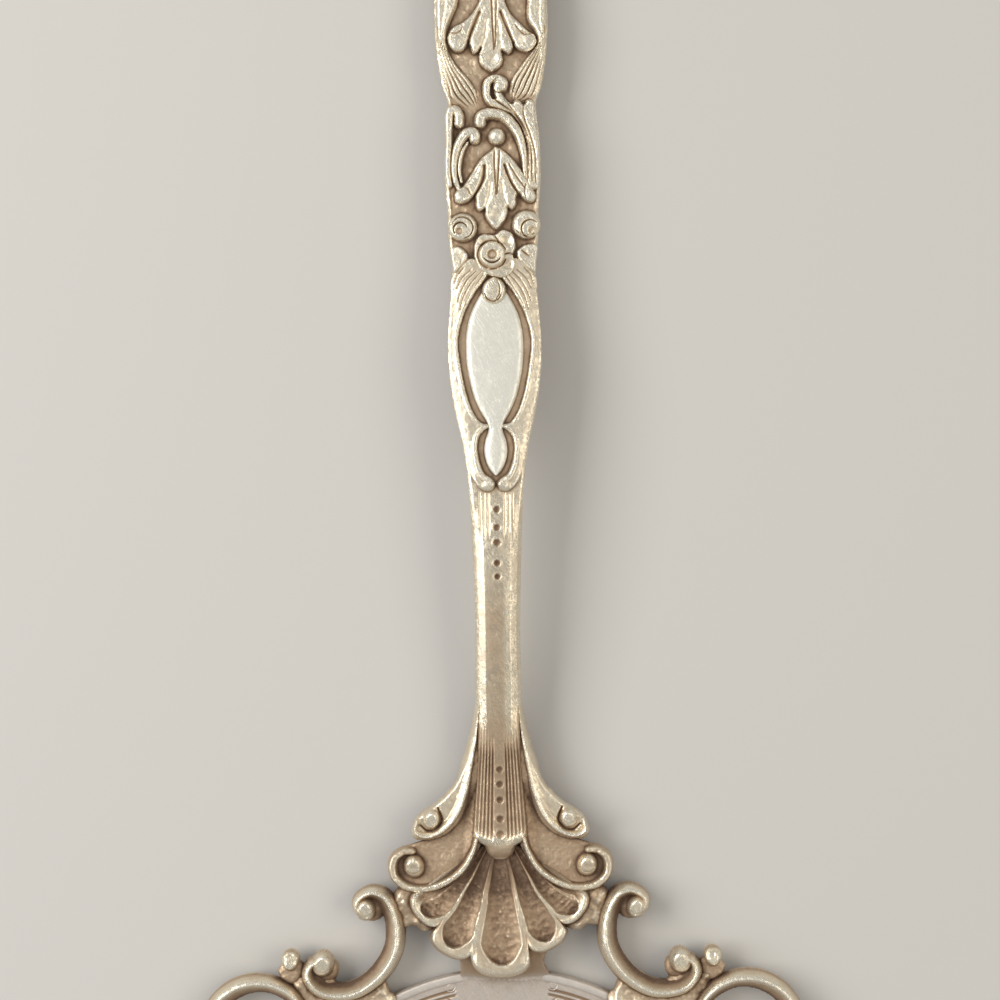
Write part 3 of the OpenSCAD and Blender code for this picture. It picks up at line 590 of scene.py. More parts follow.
ROSE, ROSE_L, ROSE_R = (-0.21, 84.53), (-4.25, 88.43), (4.6, 88.75)
PETALS = [
    (-2.75, 84.3), (-2.6, 86.2), (-1.6, 87.4), (0.1, 87.35), (1.4, 88.05), (2.7, 87.3), (3.1, 85.7),
    (2.7, 84.5), (3.1, 83.3), (2.5, 81.9), (1.2, 81.2), (-0.4, 81.5), (-1.9, 82.4),
]
rose = Relief(PETALS, 0.08).mound(PETALS, 0.72, 0.3)
rose.dish((1.75, 86.4), 1.05, 0.42).dish((1.95, 83.2), 0.9, 0.3).dish((-1.5, 86.3), 0.8, 0.3)
rose.groove([(0.15, 87.2), (0.55, 86.6), (0.7, 86.1)], [0.08, 0.12, 0.08], 0.35)
rose.groove([(2.65, 84.55), (2.1, 84.7), (1.7, 84.6)], [0.08, 0.12, 0.08], 0.35)
rose.mound(arc(ROSE, 1.85, 0, 337, 16), 1.12, 0.35, soft=0.03)
rose.groove(arc(ROSE, 2.0, 20, 340, 26), [0.07, 0.12, 0.12, 0.07], 0.3)
rose.groove(arc((-0.2, 84.75), 1.35, 215, 325), [0.04, 0.14, 0.04], 0.5)
rose.dish(ROSE, 1.45, 0.14).pit(ROSE, 0.62, 0.45)
piece("rose_centre", [rose.shell(0.02)])

left = Relief([ROSE_L], 0.08, margin=3).mound(arc(ROSE_L, 2.0, 0, 337, 16), 0.95, 0.7)
left.groove(arc((-4.35, 88.3), 1.5, -80, 160), [0.05, 0.13, 0.05], 0.42)
left.groove(arc((-4.6, 88.1), 0.95, 20, 215), [0.05, 0.14, 0.06], 0.5)
left.pit((-4.75, 87.85), 0.42, 0.4).groove(arc((-4.4, 88.2), 1.75, 200, 300), [0.05, 0.1, 0.05], 0.2)
piece("rose_left", [left.shell(0.02)])

right = Relief([ROSE_R], 0.08, margin=3).mound(arc(ROSE_R, 2.0, 0, 337, 16), 1.05, 0.9)
right.groove(arc((5.1, 88.1), 1.2, 40, 265), [0.04, 0.12, 0.06], 0.38)
right.pit((5.4, 87.85), 0.5, 0.5, 0.4).groove(arc(ROSE_R, 1.65, 215, 330), [0.06, 0.12, 0.06], 0.3)
piece("rose_right", [right.shell(0.03, seed=4)])

LEAF_L = [
    (-6.1, 85.7), (-4.8, 85.75), (-3.75, 84.9), (-3.6, 84), (-4.4, 83), (-5.5, 82), (-5.8, 83.3),
    (-6, 84.5),
]
LEAF_R = [(3.2, 85), (4.4, 85.9), (6.1, 85.8), (5.95, 83.5), (5.7, 82), (4.3, 82.9), (3.35, 84)]


def leaf(outline, middle, slope, vein, widths, depth, seed):
    """A leaf with one vein, whose top slopes from the height at its middle."""

    def top(x, y):
        return middle[2] + slope[0] * (x - middle[0]) + slope[1] * (y - middle[1])

    form = Relief(outline, 0.08).mound(outline, top, 0.35)
    return form.groove(vein, widths, depth).shell(0.03, seed=seed)


VEIN_L, VEIN_R = [(-3.9, 85.1), (-4.4, 84.4), (-4.6, 83.4)], [(3.9, 85.1), (4.6, 84.5), (5, 84.2)]
piece("leaf_left", [leaf(LEAF_L, (-4.8, 84, 0.75), (0.12, -0.08), VEIN_L, [0.08, 0.2, 0.08], 0.2, 1)])
piece("leaf_right", [leaf(LEAF_R, (4.8, 84, 0.7), (0.05, 0.06), VEIN_R, [0.08, 0.14, 0.05], 0.3, 3)])


# Acanthus leaves: one lobed outline, slots between the lobes, a grooved midrib and a dished tongue

UPPER = [
    (0.2, 124.2), (-0.8, 122.6), (-1.6, 120.4), (-2.4, 118.9), (-3.8, 117.5), (-5.3, 116.7),
    (-6, 115.7), (-6.05, 114.5), (-5.3, 113.4), (-4.3, 113.25), (-3.6, 113.9), (-3.25, 114.7),
    (-2.95, 114), (-2.55, 112.95), (-1.95, 113.2), (-1.45, 113.75), (-1.75, 112.6), (-1.55, 111.5),
    (-0.95, 110.85), (-0.4, 110.55), (-0.05, 110.3), (0.35, 110.5), (1.05, 110.95), (1.6, 112),
    (1.42, 113.25), (1.95, 113.1), (2.4, 112.85), (2.95, 113.5), (3.1, 114.4), (3.5, 113.7),
    (4.2, 113.25), (5.1, 113.2), (5.9, 113.7), (6.3, 114.5), (6.1, 115.4), (5.3, 115.9), (4.7, 116.5),
    (3.9, 117.3), (2.7, 118.6), (1.9, 120.4), (1.2, 122.6),
]
upper = Relief(UPPER).mound(UPPER, 0.82)
upper.groove([(-1.65, 118.8), (-2.3, 117.2), (-2.85, 115.8), (-3.2, 114.6)], [0.26, 0.28, 0.24, 0.2], 0.55)
upper.groove([(1.35, 118.8), (2, 117), (2.6, 115.5), (3.05, 114.4)], [0.24, 0.26, 0.22, 0.18], 0.55)
upper.groove([(0.05, 122.8), (0.1, 120), (0.22, 116), (0.38, 113.4)], [0.13, 0.14, 0.08], 0.34)
upper.groove([(0.7, 122.8), (0.72, 120), (0.64, 116), (0.54, 113.8)], [0.12, 0.12, 0.07], 0.3)
upper.groove([(-1.4, 113.8), (-0.95, 115.2), (-0.6, 117.5)], [0.2, 0.3, 0.2], 0.14)
upper.groove([(1.4, 113.4), (1.15, 115), (1, 117.5)], [0.2, 0.3, 0.2], 0.14)
upper.dish((-0.05, 112.1), 1.1, 0.22).swell((-5, 114.6), 0.9, 0.2).swell((5.1, 114.5), 0.9, 0.2)
upper.swell((4.35, 116.2), 0.4, 0.22).swell((-2.35, 114.2), 0.6, 0.1).swell((2.4, 113.8), 0.6, 0.1)
upper.groove([(-6, 116), (-5.1, 115.75), (-4.3, 116.1), (-4, 116.9)], [0.06, 0.1, 0.05], 0.26)
upper.groove([(3.3, 117), (4, 116), (4.7, 115.5), (5.5, 115.5)], [0.05, 0.12, 0.05], 0.28)
piece("upper_acanthus", [upper.shell(0.04, 0.6)])

LOWER = [
    (0.4, 99.7), (-0.3, 99.1), (-1.2, 98.4), (-2, 97.5), (-2.75, 96.3), (-3.5, 95.1), (-4.15, 94.2),
    (-4.7, 93.85), (-5.3, 93.2), (-5.3, 92.25), (-4.65, 91.75), (-3.85, 91.9), (-3.1, 92.4),
    (-2.55, 93), (-2.4, 92.1), (-2.4, 91.4), (-1.9, 90.65), (-1.15, 91), (-1.1, 89.9), (-0.4, 88.8),
    (0.4, 88.1), (1.35, 89.05), (2, 90.3), (2.05, 91.2), (2.65, 90.85), (3.2, 91.6), (3.25, 92.7),
    (3.7, 93.1), (4.2, 92.4), (4.8, 91.95), (5.5, 91.9), (5.95, 92.5), (5.7, 93.5), (5, 94.8),
    (4.1, 96.2), (3, 97.7), (1.8, 98.9), (1, 99.5),
]
lower = Relief(LOWER).mound(LOWER, 0.82)
lower.groove([(-1.15, 97), (-1.25, 95.6), (-1.65, 94.4), (-2.4, 93.1)], [0.24, 0.26, 0.22, 0.18], 0.6)
lower.groove([(1.65, 97.1), (2.05, 95.9), (2.65, 94.5), (3.5, 93.1)], [0.2, 0.22, 0.18, 0.16], 0.55)
lower.groove([(2.3, 97.2), (3.2, 95.6), (4.4, 93.9)], [0.06, 0.12, 0.06], 0.3)
lower.groove([(-1.6, 97.4), (-2.6, 95.6), (-3.6, 94.2)], [0.1, 0.3, 0.1], 0.12)
lower.groove([(0.25, 99.3), (0.25, 96.5), (0.42, 93)], [0.12, 0.14, 0.06], 0.34)
lower.groove([(0.95, 99.3), (0.8, 96.5), (0.55, 93)], [0.12, 0.14, 0.06], 0.34)
lower.groove([(-1.1, 91.1), (-0.6, 92.6), (-0.3, 94.6)], [0.2, 0.3, 0.2], 0.14)
lower.groove([(2, 91.3), (1.5, 92.8), (1.2, 94.8)], [0.2, 0.3, 0.2], 0.14)
lower.groove([(-4.05, 94.2), (-3.4, 93.6), (-3, 92.6)], [0.05, 0.13, 0.05], 0.28)
lower.groove([(4.65, 94.5), (4.4, 93.6), (4.5, 92.5)], [0.05, 0.12, 0.05], 0.26)
lower.dish((0.45, 89.9), 1.1, 0.22).swell((-4.5, 92.6), 0.75, 0.2).swell((5.2, 92.7), 0.7, 0.18)
piece("lower_acanthus", [lower.shell(0.04, 0.6, 2)])
spray_bead = Relief([(0.6, 101.2)], 0.08, margin=1.8).ball((0.6, 101.2), 1.2, 1.2)
piece("spray_bead", [spray_bead.shell(0.02)])


# Scrolls of the spray

LONG = [
    (-1.69, 103.2), (-1.52, 103.95), (-0.88, 104.35), (0.13, 104.4), (1.38, 104.1), (2.47, 103.2),
    (3.4, 101.9), (4.05, 100.2), (4.4, 98.2), (4.5, 96.2), (4.75, 94.8),
]
LONG_WIDTHS = [0.85, 0.82, 0.76, 0.74, 0.72, 0.64, 0.54, 0.44, 0.36, 0.3]
long_form = Relief(LONG).stroke(LONG, LONG_WIDTHS, [1, 1.08, 1.05, 0.98, 0.9, 0.85, 0.6])
long_form.groove([(-0.9, 103.6), (0.2, 103.75), (1.4, 103.4), (2.4, 102.5)], [0.05, 0.1, 0.05], 0.15)
piece("long_scroll", [long_form.shell()])

OUTER = [
    (-4.6, 103.1), (-4.66, 104.2), (-5.1, 104.9), (-5.68, 104.9), (-6, 104), (-6.05, 102.2),
    (-6.06, 100.2), (-6.2, 98.2), (-6.22, 96.2), (-6, 94.4),
]
OUTER_WIDTHS = [0.74, 0.72, 0.66, 0.56, 0.5, 0.48, 0.46, 0.44, 0.36]
outer_form = Relief(OUTER).stroke(OUTER, OUTER_WIDTHS, [0.98, 1, 0.92, 0.9, 0.85, 0.6])
piece("outer_scroll", [outer_form.shell()])

INNER = [
    (-2.48, 100.9), (-2.48, 101.5), (-3, 101.8), (-3.78, 101.5), (-4.45, 100.6), (-4.95, 99.5),
    (-5.3, 98), (-5.4, 96.5), (-5.2, 95), (-4.7, 93.8),
]
INNER_STRAND = [(-3.5, 100.3), (-4.1, 99.3), (-4.5, 98), (-4.65, 96.4), (-4.4, 94.9)]
INNER_WIDTHS = [0.8, 0.78, 0.72, 0.66, 0.6, 0.52, 0.46, 0.4, 0.3]
inner_form = Relief(INNER + INNER_STRAND)
inner_form.stroke(INNER, INNER_WIDTHS, [1, 1.08, 1, 0.92, 0.9, 0.85, 0.6])
inner_form.stroke(INNER_STRAND, [0.22, 0.3, 0.3, 0.24], [0.5, 0.62, 0.62, 0.45], soft=0.05)
piece("inner_scroll", [inner_form.shell()])

# The crook runs out into a bundle of strands on the right edge
CROOK = [
    (1.56, 108.05), (1.66, 108.8), (0.9, 109.3), (0.1, 109.25), (-0.58, 108.75), (-0.73, 107.8),
    (-0.65, 106.8), (-0.1, 105.95), (1.1, 105.4), (2.3, 104.9),
]
CROOK_STRAND = [(0.6, 108), (0.9, 107.1), (1.4, 106.25), (2.2, 105.4), (3.2, 104.4)]
BUNDLE = [
    (-0.86, 106), (-0.1, 105.4), (1.2, 105.1), (2.2, 104.7), (3.1, 104), (4, 102.7),
    (4.55, 101.2), (4.8, 99.5), (4.75, 97.7), (4.7, 95.2), (5.1, 93.9), (6.2, 93.8), (6.55, 95.2),
    (6.6, 97.7), (6.5, 100.2), (6.15, 102.2), (5.95, 104.3), (5.9, 105.8), (5.2, 106.4), (4.45, 105.6),
    (3.95, 106.1), (3.4, 106.35), (2.9, 105.8), (1.9, 106.05), (0.6, 106.6),
]
STRANDS = [
    [(-0.05, 107.9), (0.15, 107), (0.7, 106.1), (1.6, 105.45), (2.7, 104.7), (3.7, 103.6), (4.45, 102.1),
     (4.9, 100), (5, 97.8), (4.95, 95.2)],
    [(1.75, 106.3), (2.5, 105.4), (3.5, 104), (4.45, 102.4), (5.2, 100), (5.45, 97.7), (5.4, 94.8)],
    [(4.43, 105.75), (4.3, 104.8), (4.6, 103.25), (5.3, 101.25), (5.85, 98.95), (6, 96.7), (5.9, 94.6)],
]
crook = Relief(CROOK + BUNDLE).mound(BUNDLE, 0.72, 0.3)
crook.ball((3.45, 105.8), 0.5, 0.88).ball((5.2, 105.85), 0.56, 0.88)
crook.stroke(CROOK_STRAND, [0.42, 0.55, 0.55, 0.5, 0.4], [0.85, 0.92, 0.9, 0.8, 0.7], soft=0.06)
crook.ball((1.05, 108.3), 0.9, 1.15)
CROOK_WIDTHS = [0.58, 0.6, 0.6, 0.58, 0.55, 0.52, 0.5, 0.44]
crook.stroke(CROOK, CROOK_WIDTHS, [1.05, 1.1, 1.08, 1, 0.95, 0.9, 0.75], soft=0.06)
for strand in STRANDS:
    crook.groove(strand, [0.06, 0.13, 0.13, 0.1, 0.06], 0.34)
crook.groove(arc((1, 108.3), 1.0, 100, 280), [0.04, 0.1, 0.06], 0.4)
piece("crook_scroll", [crook.shell()])

SWAG_L_OUT = [
    (-7.75, 124), (-7.75, 120.4), (-7.75, 117.9), (-7.6, 114.1), (-7.2, 111.6), (-6.75, 109.6),
    (-6.35, 107.8), (-6.1, 106.5), (-4.9, 105.5), (-3.5, 104.8), (-2.2, 105),
]
SWAG_L_IN = [
    (-4.5, 124), (-4.64, 120.4), (-5.14, 118.9), (-5.77, 117.4), (-6.15, 116.2), (-6.3, 114.8),
    (-5.78, 112.8), (-4.77, 111.1), (-3.6, 109.8), (-2.75, 108.7), (-2.2, 107.5), (-1.95, 106.2),
    (-2, 105.3),
]
SWAG_R_OUT = [
    (7.75, 124), (7.75, 120.4), (7.75, 116.6), (7.6, 114.1), (7.3, 111.6), (6.92, 109.6), (6.45, 107.8),
    (5.85, 106.6), (4.6, 106.1), (3.5, 106.2),
]
SWAG_R_IN = [
    (4.9, 124), (5.07, 120.4), (4.94, 118.9), (5.2, 117.4), (6.15, 115.9), (6.4, 114.4), (5.62, 113.1),
    (4.77, 112.1), (3.8, 110.8), (2.96, 109.6), (2.55, 108.3), (2.6, 107), (3.1, 106.4),
]
SWAG_FOOT = 104.8


def swag(outer, inner, seed, run):
    """A fluted swag whose lower end sinks into the ground over a length of run."""

    def height(x, y):
        return -0.25 + 0.98 * ease((y - SWAG_FOOT) / run)

    a, b = spline(outer, 120), spline(inner, 120)
    form = Relief(outer + inner).mound(outer + inner[::-1], height, 0.6, low=-0.32)
    for share, start in ((0.14, 40), (0.32, 50), (0.5, 54), (0.68, 60), (0.85, 66)):
        form.groove((a + (b - a) * share)[start::6], [0.05, 0.14, 0.15, 0.1, 0.03], 0.34)
    form.groove((a + (b - a) * 0.4)[:52:8], [0.2, 0.3, 0.1], 0.1)
    form.mark += 0.16 * ease((109 - form.y) / 3.5)
    return form.shell(0.03, 0.7, seed)


piece("swag_left", [swag(SWAG_L_OUT, SWAG_L_IN, 1, 8.5)])
piece("swag_right", [swag(SWAG_R_OUT, SWAG_R_IN, 2, 11)])


# End of the handle

TERMINAL = [
    (-5.3, 136.4), (-5.6, 138.6), (-6.9, 139.6), (-8, 137.8), (-8.25, 134), (-7.75, 129.6),
    (-6.6, 126.4), (-5.2, 126), (-4.7, 127.8),
]
terminal = Relief(TERMINAL)
terminal.stroke(TERMINAL, [0.6, 0.85, 0.95, 1, 0.95, 0.85, 0.6], [0.9, 1.1, 1.15, 1.1, 0.9], keel(-0.2, 1))
terminal.ball((-5.25, 136.3), 1.0, 1.2).ball((-4.75, 127.7), 0.95, 1.15)
pair("terminal_scroll", [terminal.shell()])

PALM = 136.2
palmette = Relief([(-5.3, PALM + 0.7), (5.3, 148.1)])
for k in (-2, 2, -1, 1, 0):
    reach = 12.4 - 0.75 * k * k
    lean = math.radians(19 * k)
    way = np.array((math.sin(lean), math.cos(lean)))
    foot = np.array((0.25 * k, PALM + 0.4))
    bend = np.array((0.12 * k, 0))
    path = [tuple(foot + way * reach * t + bend * (1 - t) * 2) for t in (0.03, 0.3, 0.6, 0.86)]
    palmette.stroke(path, [0.35, 0.8, 1.15, 1.3], [0.75, 0.9, 1, 1.05], soft=0.05)
    palmette.groove(path, [0.1, 0.14, 0.18, 0.1], 0.32).dish(path[-1], 0.8, 0.15)
piece("terminal_palmette", [palmette.shell(0.035)])
bead = Relief([(0, 134.3)], margin=2.2).ball((0, 134.3), 1.85, 0.6).ball((0, 134.3), 1.2, 1.4, soft=0.03)
piece("terminal_bead", [bead.shell(0.02)])


# Shell: flutes that start side by side under the lip and fan out to their lobes

LIP_HALF, LIP_Y, SHELL_Y = 2.9, 1.6, 1.3
# Half angle of the fan, and the share of the reach at which its flutes end
FAN, FLUTE_END = 64, 0.885
# Direction, reach and half angle of each lobe
LOBES = [(-52, 15.2, 12.0), (-28, 16.9, 12.0), (0, 18.1, 14.5), (27.5, 15.9, 12.0), (51.5, 14.8, 12.0)]


def shell():
    rows = []
    for at, far, wide in LOBES:
        for q in np.linspace(-1, 1, 45, endpoint=at > 50):
            rows.append((at + q * wide, far * (1 - 0.07 * abs(q) ** 3), q))
    angle, reach, flute = np.array(rows).T
    turn = np.radians(angle)
    S = np.linspace(0, 1, 130)[:, None]
    x = (1 - S) * LIP_HALF * angle / FAN + S * reach * np.sin(turn)
    y = (1 - S) * LIP_Y + S * (SHELL_Y - reach * np.cos(turn))
    y = y - 2.2 * (np.abs(angle) / FAN) ** 1.5 * np.sin(math.pi * S)
    # Each flute is a drop-shaped hollow that stops short of the rolled rim
    Q = flute + 0.07 * mottle(x, y, 2.2, 8)
    stop = np.clip((FLUTE_END - S) / 0.12, 0.03, 1)
    cut = np.clip(1 - (np.abs(Q) / (0.84 * stop**0.45)) ** 2.4, 0, 1) * (S < FLUTE_END)
    dome = 1.3 + 1.4 * np.sin(math.pi * 0.6 * np.clip(S, 0, 1))
    roll = 0.28 * bell(S, 0.93, 0.05) - 1.6 * np.clip((S - 0.945) / 0.055, 0, 1) ** 2
    notch = 0.5 * np.clip((np.abs(flute) - 0.8) / 0.2, 0, 1) ** 2 * ease((S - 0.78) / 0.2)
    ripple = 0.05 * np.cos(S * 84 + 2.0 * Q**2 + 2.4 * mottle(x, y, 1.4, 5))
    ripple += 0.1 * mottle(x, y, 0.5, 6) + 0.07 * mottle(x, y, 0.28, 9)
    h = dome + roll - notch - (0.45 + 0.5 * ease(S / 0.4)) * cut**0.7
    h = h + ripple * cut + 0.04 * mottle(x, y, 0.9, 7)
    # The outer edges lie under the rims of the cheeks
    h -= 1.1 * ease((np.abs(angle) - 58) / 6) * ease((0.92 - S) / 0.12)
    top = np.stack([x, y, h], -1).transpose(1, 0, 2)
    foot_out, foot_in = top[:, -1:].copy(), top[:, :1].copy()
    foot_out[..., 2] = 0
    foot_in[..., 2] = 0
    brown = 0.1 + 0.15 * cut + (0.36 + 0.4 * (1 - cut)) * ease(1 - S / 0.6)
    marks = np.concatenate([brown.T, np.zeros((len(angle), 2))], 1)
    return loft(np.concatenate([top, foot_out, foot_in], 1), marks)


piece("shell", [shell()], at_hub, tint=0.19)


# Scrolls round the root: the shoulder carries on the edge of the stem, the cheek is a hollow with a rim


def stem_rise(x, y):
    return bar_top(np.clip(y, 0, None)) - SEAT_Z


def stem_under(x, y):
    return bar_under(np.clip(y, 0, None)) - SEAT_Z + 1.6 * ease((y - 10) / 14)


def shoulder_top(x, y):
    return stem_rise(x, y) - 0.65 - 0.5 * ease((y - 15) / 7)


def shoulder_foot(x, y):
    return stem_rise(x, y) - 1.8


SHOULDER = [
    (-3, 24.5), (-3.15, 22.8), (-3.5, 20.2), (-4.07, 17.1), (-4.84, 14), (-6.2, 10.9), (-7.4, 9.4),
    (-9, 7.9), (-10.6, 6.9), (-12, 5.6), (-12.5, 3.8), (-11.6, 2.75), (-9.6, 2.8), (-7.77, 3.5),
    (-6.2, 4.8), (-5.15, 6.6), (-4.3, 9.4), (-3.9, 12.5), (-3.3, 15.5), (-2.75, 17.7), (-2.5, 20),
    (-2.6, 24.5),
]
SHOULDER_RIDGE = [
    (-2.85, 22), (-3.55, 17.1), (-4.5, 12.7), (-5.15, 9.8), (-6.1, 7.1), (-7.3, 5.2), (-8.9, 3.95),
    (-10.6, 3.5), (-11.75, 4.1), (-11.6, 5.3),
]
shoulder = Relief(SHOULDER, 0.11, stem_under)
shoulder.mound(SHOULDER, shoulder_top, 0.6, low=shoulder_foot)
ridge_heights = []
for _, y in SHOULDER_RIDGE:
    above = 0.05 if y < 15 else -0.6 * float(ease((y - 15) / 5))
    ridge_heights.append(float(stem_rise(0, y)) + above)
RIDGE_WIDTHS = [0.4, 0.6, 0.85, 1.05, 1.2, 1.1, 0.9, 0.7, 0.5]
shoulder.stroke(SHOULDER_RIDGE, RIDGE_WIDTHS, ridge_heights, keel(0.45, 1), low=1.0)
shoulder.knob((-9.6, 5.85), 1.35, 3.1, 1.4, 250)
CURL = [(-11.2, 4.9), (-10.2, 4.1), (-9, 4.3), (-8.2, 5.6), (-8.7, 7.3)]
shoulder.groove(CURL, [0.1, 0.18, 0.2, 0.12], 0.5)
pair("shoulder_scroll", [shoulder.shell(0.05, 0.8)], at_hub, tint=0.07)

CHEEK = [
    (-2.8, 20), (-3.6, 15.5), (-4.3, 12), (-5.1, 8.4), (-6.6, 5.4), (-8.6, 3.8), (-10.8, 2.6),
    (-12.6, 2), (-14.3, 1.5), (-15.6, 0), (-15.8, -1.7), (-14.9, -3.2), (-13.2, -4.3), (-10.7, -4.8),
    (-8.1, -4.1), (-6.1, -2.6), (-4.4, -0.5), (-3, 1.4), (-2.5, 4), (-2.3, 9), (-2, 15),
]
CHEEK_RIM = [
    (-3.35, 2.9), (-3.7, 1.5), (-4.3, 0.2), (-5.1, -1.1), (-6.6, -2.5), (-8.7, -3.6), (-11, -4.1),
    (-13.3, -3.7), (-14.8, -2.5), (-15.2, -1), (-14.8, 0.3), (-13.6, 1.1), (-12.4, 1.1),
]


def cheek_hollow(x, y):
    side = np.clip(stem_rise(x, y) - 0.9, 0, None)
    near_panel = np.maximum(ease((x + 5.6 - 0.05 * y) / 2.6), ease((y - 6) / 6))
    return 0.95 + np.clip(side - 0.95, 0, None) * near_panel + 0.5 * ease((-y - 2.0) / 1.6)


cheek = Relief(CHEEK, 0.11, stem_under).mound(CHEEK, cheek_hollow, 0.35, low=0.6)
CHEEK_WIDTHS = [0.4, 0.5, 0.55, 0.62, 0.64, 0.66, 0.7, 0.55]
cheek.stroke(CHEEK_RIM, CHEEK_WIDTHS, [2.7, 2.5, 2.4, 2.35, 2.3, 2.2, 1.9], low=0.6)
cheek.knob((-12.2, -0.8), 1.55, 2.6, 0.9, 280)
pair("cheek_scroll", [cheek.shell(0.06, 0.5, 3)], at_hub, tint=0.3)


# Gallery

FOOT = -0.83


def gallery_scroll(path, cell, margin, widths, heights, crest, inner, bosses=()):
    """A scroll over flat bosses, with its crest at q = crest, hollow and brown on the inner side."""
    form = Relief(path, cell, FOOT, margin)
    for at, r in bosses:
        form.ball(at, r, 0.9, -0.4)

    def brown(q):
        return 0.3 * ease(((q - crest) * inner - 0.15) / 0.6)

    return form.stroke(path, widths, heights, keel(crest, inner), stain=brown)


BRACKET = [
    (-19.2, 8.3), (-20, 8.9), (-20.1, 10), (-19.2, 10.9), (-17.9, 11.2), (-16.4, 10.4),
    (-15.3, 8.3), (-14.9, 6), (-15.1, 3.6), (-16.2, 1.2), (-18.2, -1), (-20.8, -2.5), (-23.4, -2.8),
    (-25.8, -2.1), (-27.1, -0.4), (-26.7, 1.1), (-25.4, 1.6),
]
BRACKET_WIDTHS = [0.8, 1, 1.25, 1.4, 1.45, 1.45, 1.35, 1.3, 1.25, 1.2, 0.9]
BRACKET_HEIGHTS = [2.1, 2.4, 2.45, 2.45, 2.45, 2.4, 2.2]
BOSSES = [((-18.2, 9), 1.9), ((-25, 0.4), 2.0)]
bracket = gallery_scroll(BRACKET, 0.12, 2.4, BRACKET_WIDTHS, BRACKET_HEIGHTS, 0.12, -1, BOSSES)
bracket.knob((-19.1, 9.1), 1.5, 2.4, 0.4, 275).knob((-25.2, 1.5), 1.7, 2.4, 0.4, 255)
bracket.mark += 0.3 * ease((1.3 - bracket.h) / 0.7)
pair("bracket_scroll", [bracket.shell(0.05, 0.8)], at_heel, tint=0.11)

RING_AT, RING_R = (-34.4, -8.6), 7.2
RING = arc(RING_AT, RING_R, 6, 275, 12)
for share, turn in ((0.9, 303), (0.72, 330), (0.52, 350)):
    RING += arc(RING_AT, RING_R * share, turn, turn, 1)
ring_eye = arc(RING_AT, 0.42 * RING_R, -25, -25, 1)[0]
RING_WIDTHS, RING_HEIGHTS = [0.7, 1.2, 1.4, 1.4, 1.35, 1.2, 1], [2.1, 2.35, 2.4, 2.4, 2.35, 2.2]
ring = gallery_scroll(RING, 0.13, 2.2, RING_WIDTHS, RING_HEIGHTS, -0.15, 1)
ring.knob(ring_eye, 1.7, 2.3, 0.4, 150)
ring.mark += 0.3 * ease((1.2 - ring.h) / 0.7)
pair("ring_scroll", [ring.shell(0.05, 0.8, 2)], at_heel, tint=0.11)

BUD = [
    (-31.6, 0.4), (-31, 1.4), (-30.6, 2.4), (-29.9, 2.95), (-29.1, 2.7), (-28.7, 1.9), (-28, 1.2),
    (-27.8, 0.2), (-28.6, -0.9), (-29.6, -1.6), (-31, -0.9),
]
bud = Relief(BUD, 0.1, FOOT).mound(BUD, 0.8, 0.9, low=0.2)
bud.mark += 0.25
bud.knob((-29.8, 1.75), 1.35, 1.65, 0.4, 80)
pair("gallery_bud", [bud.shell(0.06)], at_heel, tint=0.06)


def round_arc(rows):
    """Points of the heel's arc from (distance beyond it, angle)."""
    return [arc((0, HEEL_CY - HEEL_Y), BLADE_R + r, a, a, 1)[0] for r, a in rows]


SIDE = round_arc([
    (5.2, 158.4), (4.6, 160), (2.9, 160.8), (1.8, 163), (1.4, 168), (1.3, 178), (1.4, 189),
    (1.8, 195), (2.8, 198.2), (4.4, 199.2), (5.1, 200.6),
])
SIDE_WIDTHS = [0.6, 0.95, 1.2, 1.25, 1.25, 1.25, 1.2, 0.95, 0.6]
side = gallery_scroll(SIDE, 0.14, 2.4, SIDE_WIDTHS, [1.7, 1.95, 2.1, 2.1, 2.1, 1.95, 1.7], -0.15, 1)
for eye in round_arc([(4.1, 156.8), (3.9, 201.8)]):
    side.knob(eye, 1.65, 2.1, 0.4, 180)
pair("side_scroll", [side.shell(0.05, 0.8, 3)], at_heel, tint=0.11)


# Pierced plates under the gallery and under the root

HEEL_WEB = [
    (-17, 0.4), (-18.2, -1), (-20.8, -2.5), (-23.4, -2.8), (-25.3, -3.2), (-23, -6.5), (-20.6, -8.6),
    (-18, -6.7), (-15.4, -5.1),
]
BUD_WEB = [
    (-22, -3), (-25.3, 0.2), (-29.6, -0.4), (-29.2, -3), (-28.2, -6), (-27.6, -9), (-25.9, -13.2),
    (-23, -10.8), (-20.4, -8.4),
]
ROOT_WEB = [
    (-8, 11), (-12.6, 12.6), (-15.2, 11), (-15.4, 8), (-14.9, 5), (-13.6, 6.1), (-12.2, 6.3),
    (-10.6, 5.6), (-8, 7),
]


def gallery_plate(seed):
    lap = round_arc([(-0.1, a) for a in range(118, 201, 6)])
    form = Relief(lap + BRACKET + RING + SIDE + ROOT_WEB, 0.16, FOOT, 1.6)
    form.stroke(lap, [1.4], [0.25], low=-0.4)
    for path in (BRACKET, RING, SIDE):
        form.stroke(path, [0.85], [0.1], low=-0.4)
    for web, top in ((HEEL_WEB, 0.6), (BUD_WEB, 0.6), (ROOT_WEB, 1.1)):
        form.mound(web, top, 1.2, low=-0.3)
    return form.shell(0.2, 0.9, seed)


piece("gallery_plate_left", [gallery_plate(3)], at_heel, DARK, tint=0.14)
piece("gallery_plate_right", [gallery_plate(4)], at_heel, DARK, mirrored=True, tint=0.14)

HEEL_HALF = [
    (-5.8, -1.4), (-6, 1.5), (-8, 4.8), (-11, 8), (-12.6, 11.5), (-12.4, 14.5), (-9, 17.5),
    (-4.8, 20.5), (-3.2, 25),
]


def heel_top(x, y):
    return -0.7 + 0.67 * ease((y + 1.4) / 3.2)


